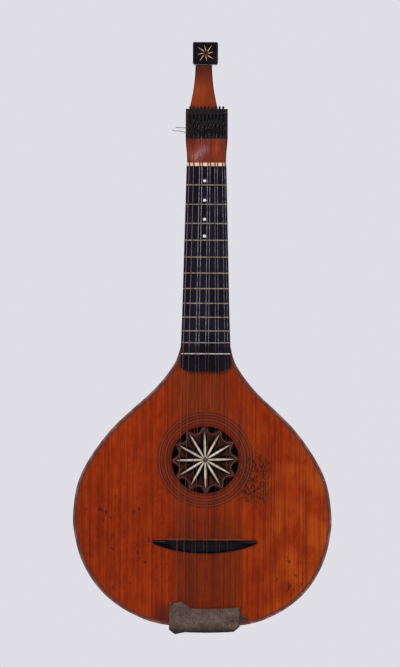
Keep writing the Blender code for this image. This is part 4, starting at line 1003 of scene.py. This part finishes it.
# Places of the bit of wire: pixels from the middle, metres in front of the board and row
STRAY_WIRE = (
    (-30.8, 0.0046, 601.8), (-30.6, 0.0058, 603.2), (-30.0, 0.0064, 604.8),
    (-29.3, 0.0062, 606.4), (-28.4, 0.0054, 607.8),
)
STRAY_WIRE_RADIUS = 0.0004
stray = Surface("stray_wire", roughness=0.3, metallic=1.0)
scuffs = stray.noise((500, 500, 500)).step(0.3, 0.7)
stray.set("Base Color", stray.mix(scuffs, (0.012, 0.012, 0.014), (0.04, 0.035, 0.035)))
bm = bmesh.new()
path = [
    Vector((across * PIXEL, FRONT - out, -(row - ORIGIN_ROW) * PIXEL))
    for across, out, row in STRAY_WIRE
]
add_tube(bm, path, STRAY_WIRE_RADIUS, 6)
add_mesh("stray_wire_end", bm, stray)


# Ground and light
# A pale floor and world that the camera and reflections see as one even ground, a large soft lamp
# high on the left, a weaker one on the right and one behind. A strip lamp glints on the head.

PALE = (0.745, 0.735, 0.785)
LIT_HEIGHT = -0.3


def show_pale(shader, kind, output):
    """Show the plain ground to the camera and in reflections, and let the shader light the rest."""
    seen = shader.node("ShaderNodeLightPath", {}, {}, "Is Camera Ray")
    for ray in ("Is Glossy Ray", "Is Transmission Ray"):
        seen = seen.math("MAXIMUM", shader.node("ShaderNodeLightPath", {}, {}, ray))
    lit = Value(shader, shader.main.outputs[0])
    pale = shader.node(kind, {}, {"Color": PALE, "Strength": 1.0})
    switch = shader.node("ShaderNodeMixShader", {}, [seen, lit, pale])
    shader.plug(shader.tree.nodes[output].inputs["Surface"], switch)


scene.world = bpy.data.worlds.new("studio")
scene.world.use_nodes = True
ambient = Shader(scene.world.node_tree, "Background")
ambient.set("Color", (0.95, 0.95, 1.0))
ambient.set("Strength", 0.42)
show_pale(ambient, "ShaderNodeBackground", "World Output")

floor_finish = Surface("floor", roughness=0.8)
floor_finish.set("Base Color", (0.75, 0.74, 0.77))
show_pale(floor_finish, "ShaderNodeEmission", "Material Output")

FLOOR_Z = -1.0
FLOOR_SIZE = 30
bm = bmesh.new()
bmesh.ops.create_grid(
    bm, x_segments=1, y_segments=1, size=FLOOR_SIZE, matrix=Matrix.Translation((0, 0, FLOOR_Z))
)
floor_mesh = bpy.data.meshes.new("floor")
bm.to_mesh(floor_mesh)
bm.free()
floor_mesh.materials.append(floor_finish.material)
floor = bpy.data.objects.new("floor", floor_mesh)
scene.collection.objects.link(floor)


def add_lamp(name, place, aim, size, power):
    """A square area lamp at a place, aimed at a point."""
    light = bpy.data.lights.new(name, "AREA")
    light.size = size
    light.energy = power
    lamp = bpy.data.objects.new(name, light)
    scene.collection.objects.link(lamp)
    lamp.location = place
    lamp.rotation_euler = (Vector(aim) - Vector(place)).to_track_quat("-Z", "Y").to_euler()
    return lamp


add_lamp("key_lamp", (-1.6, -2.4, 1.1), (0, 0, LIT_HEIGHT), 1.6, 62)
add_lamp("fill_lamp", (1.9, -2.2, 0.1), (0, 0, LIT_HEIGHT), 1.8, 26)
add_lamp("back_lamp", (0.6, 2.4, 0.8), (0, 0, LIT_HEIGHT), 1.8, 40)

# The strip lamp stands where the tilted head mirrors it to the camera
GLINT_PLACE, GLINT_AIM = (-0.0086, -2.393, 0.690), (-0.0078, -0.019, -0.0958)
GLINT_LENGTH, GLINT_WIDTH = 0.030, 0.011
strip = add_lamp("glint_lamp", GLINT_PLACE, GLINT_AIM, GLINT_LENGTH, 0.015)
strip.data.shape = "RECTANGLE"
strip.data.size_y = GLINT_WIDTH
strip.data.color = (0.86, 0.74, 1.0)
strip.rotation_euler.rotate_axis("Z", math.radians(42))

scene.view_settings.view_transform = "Standard"
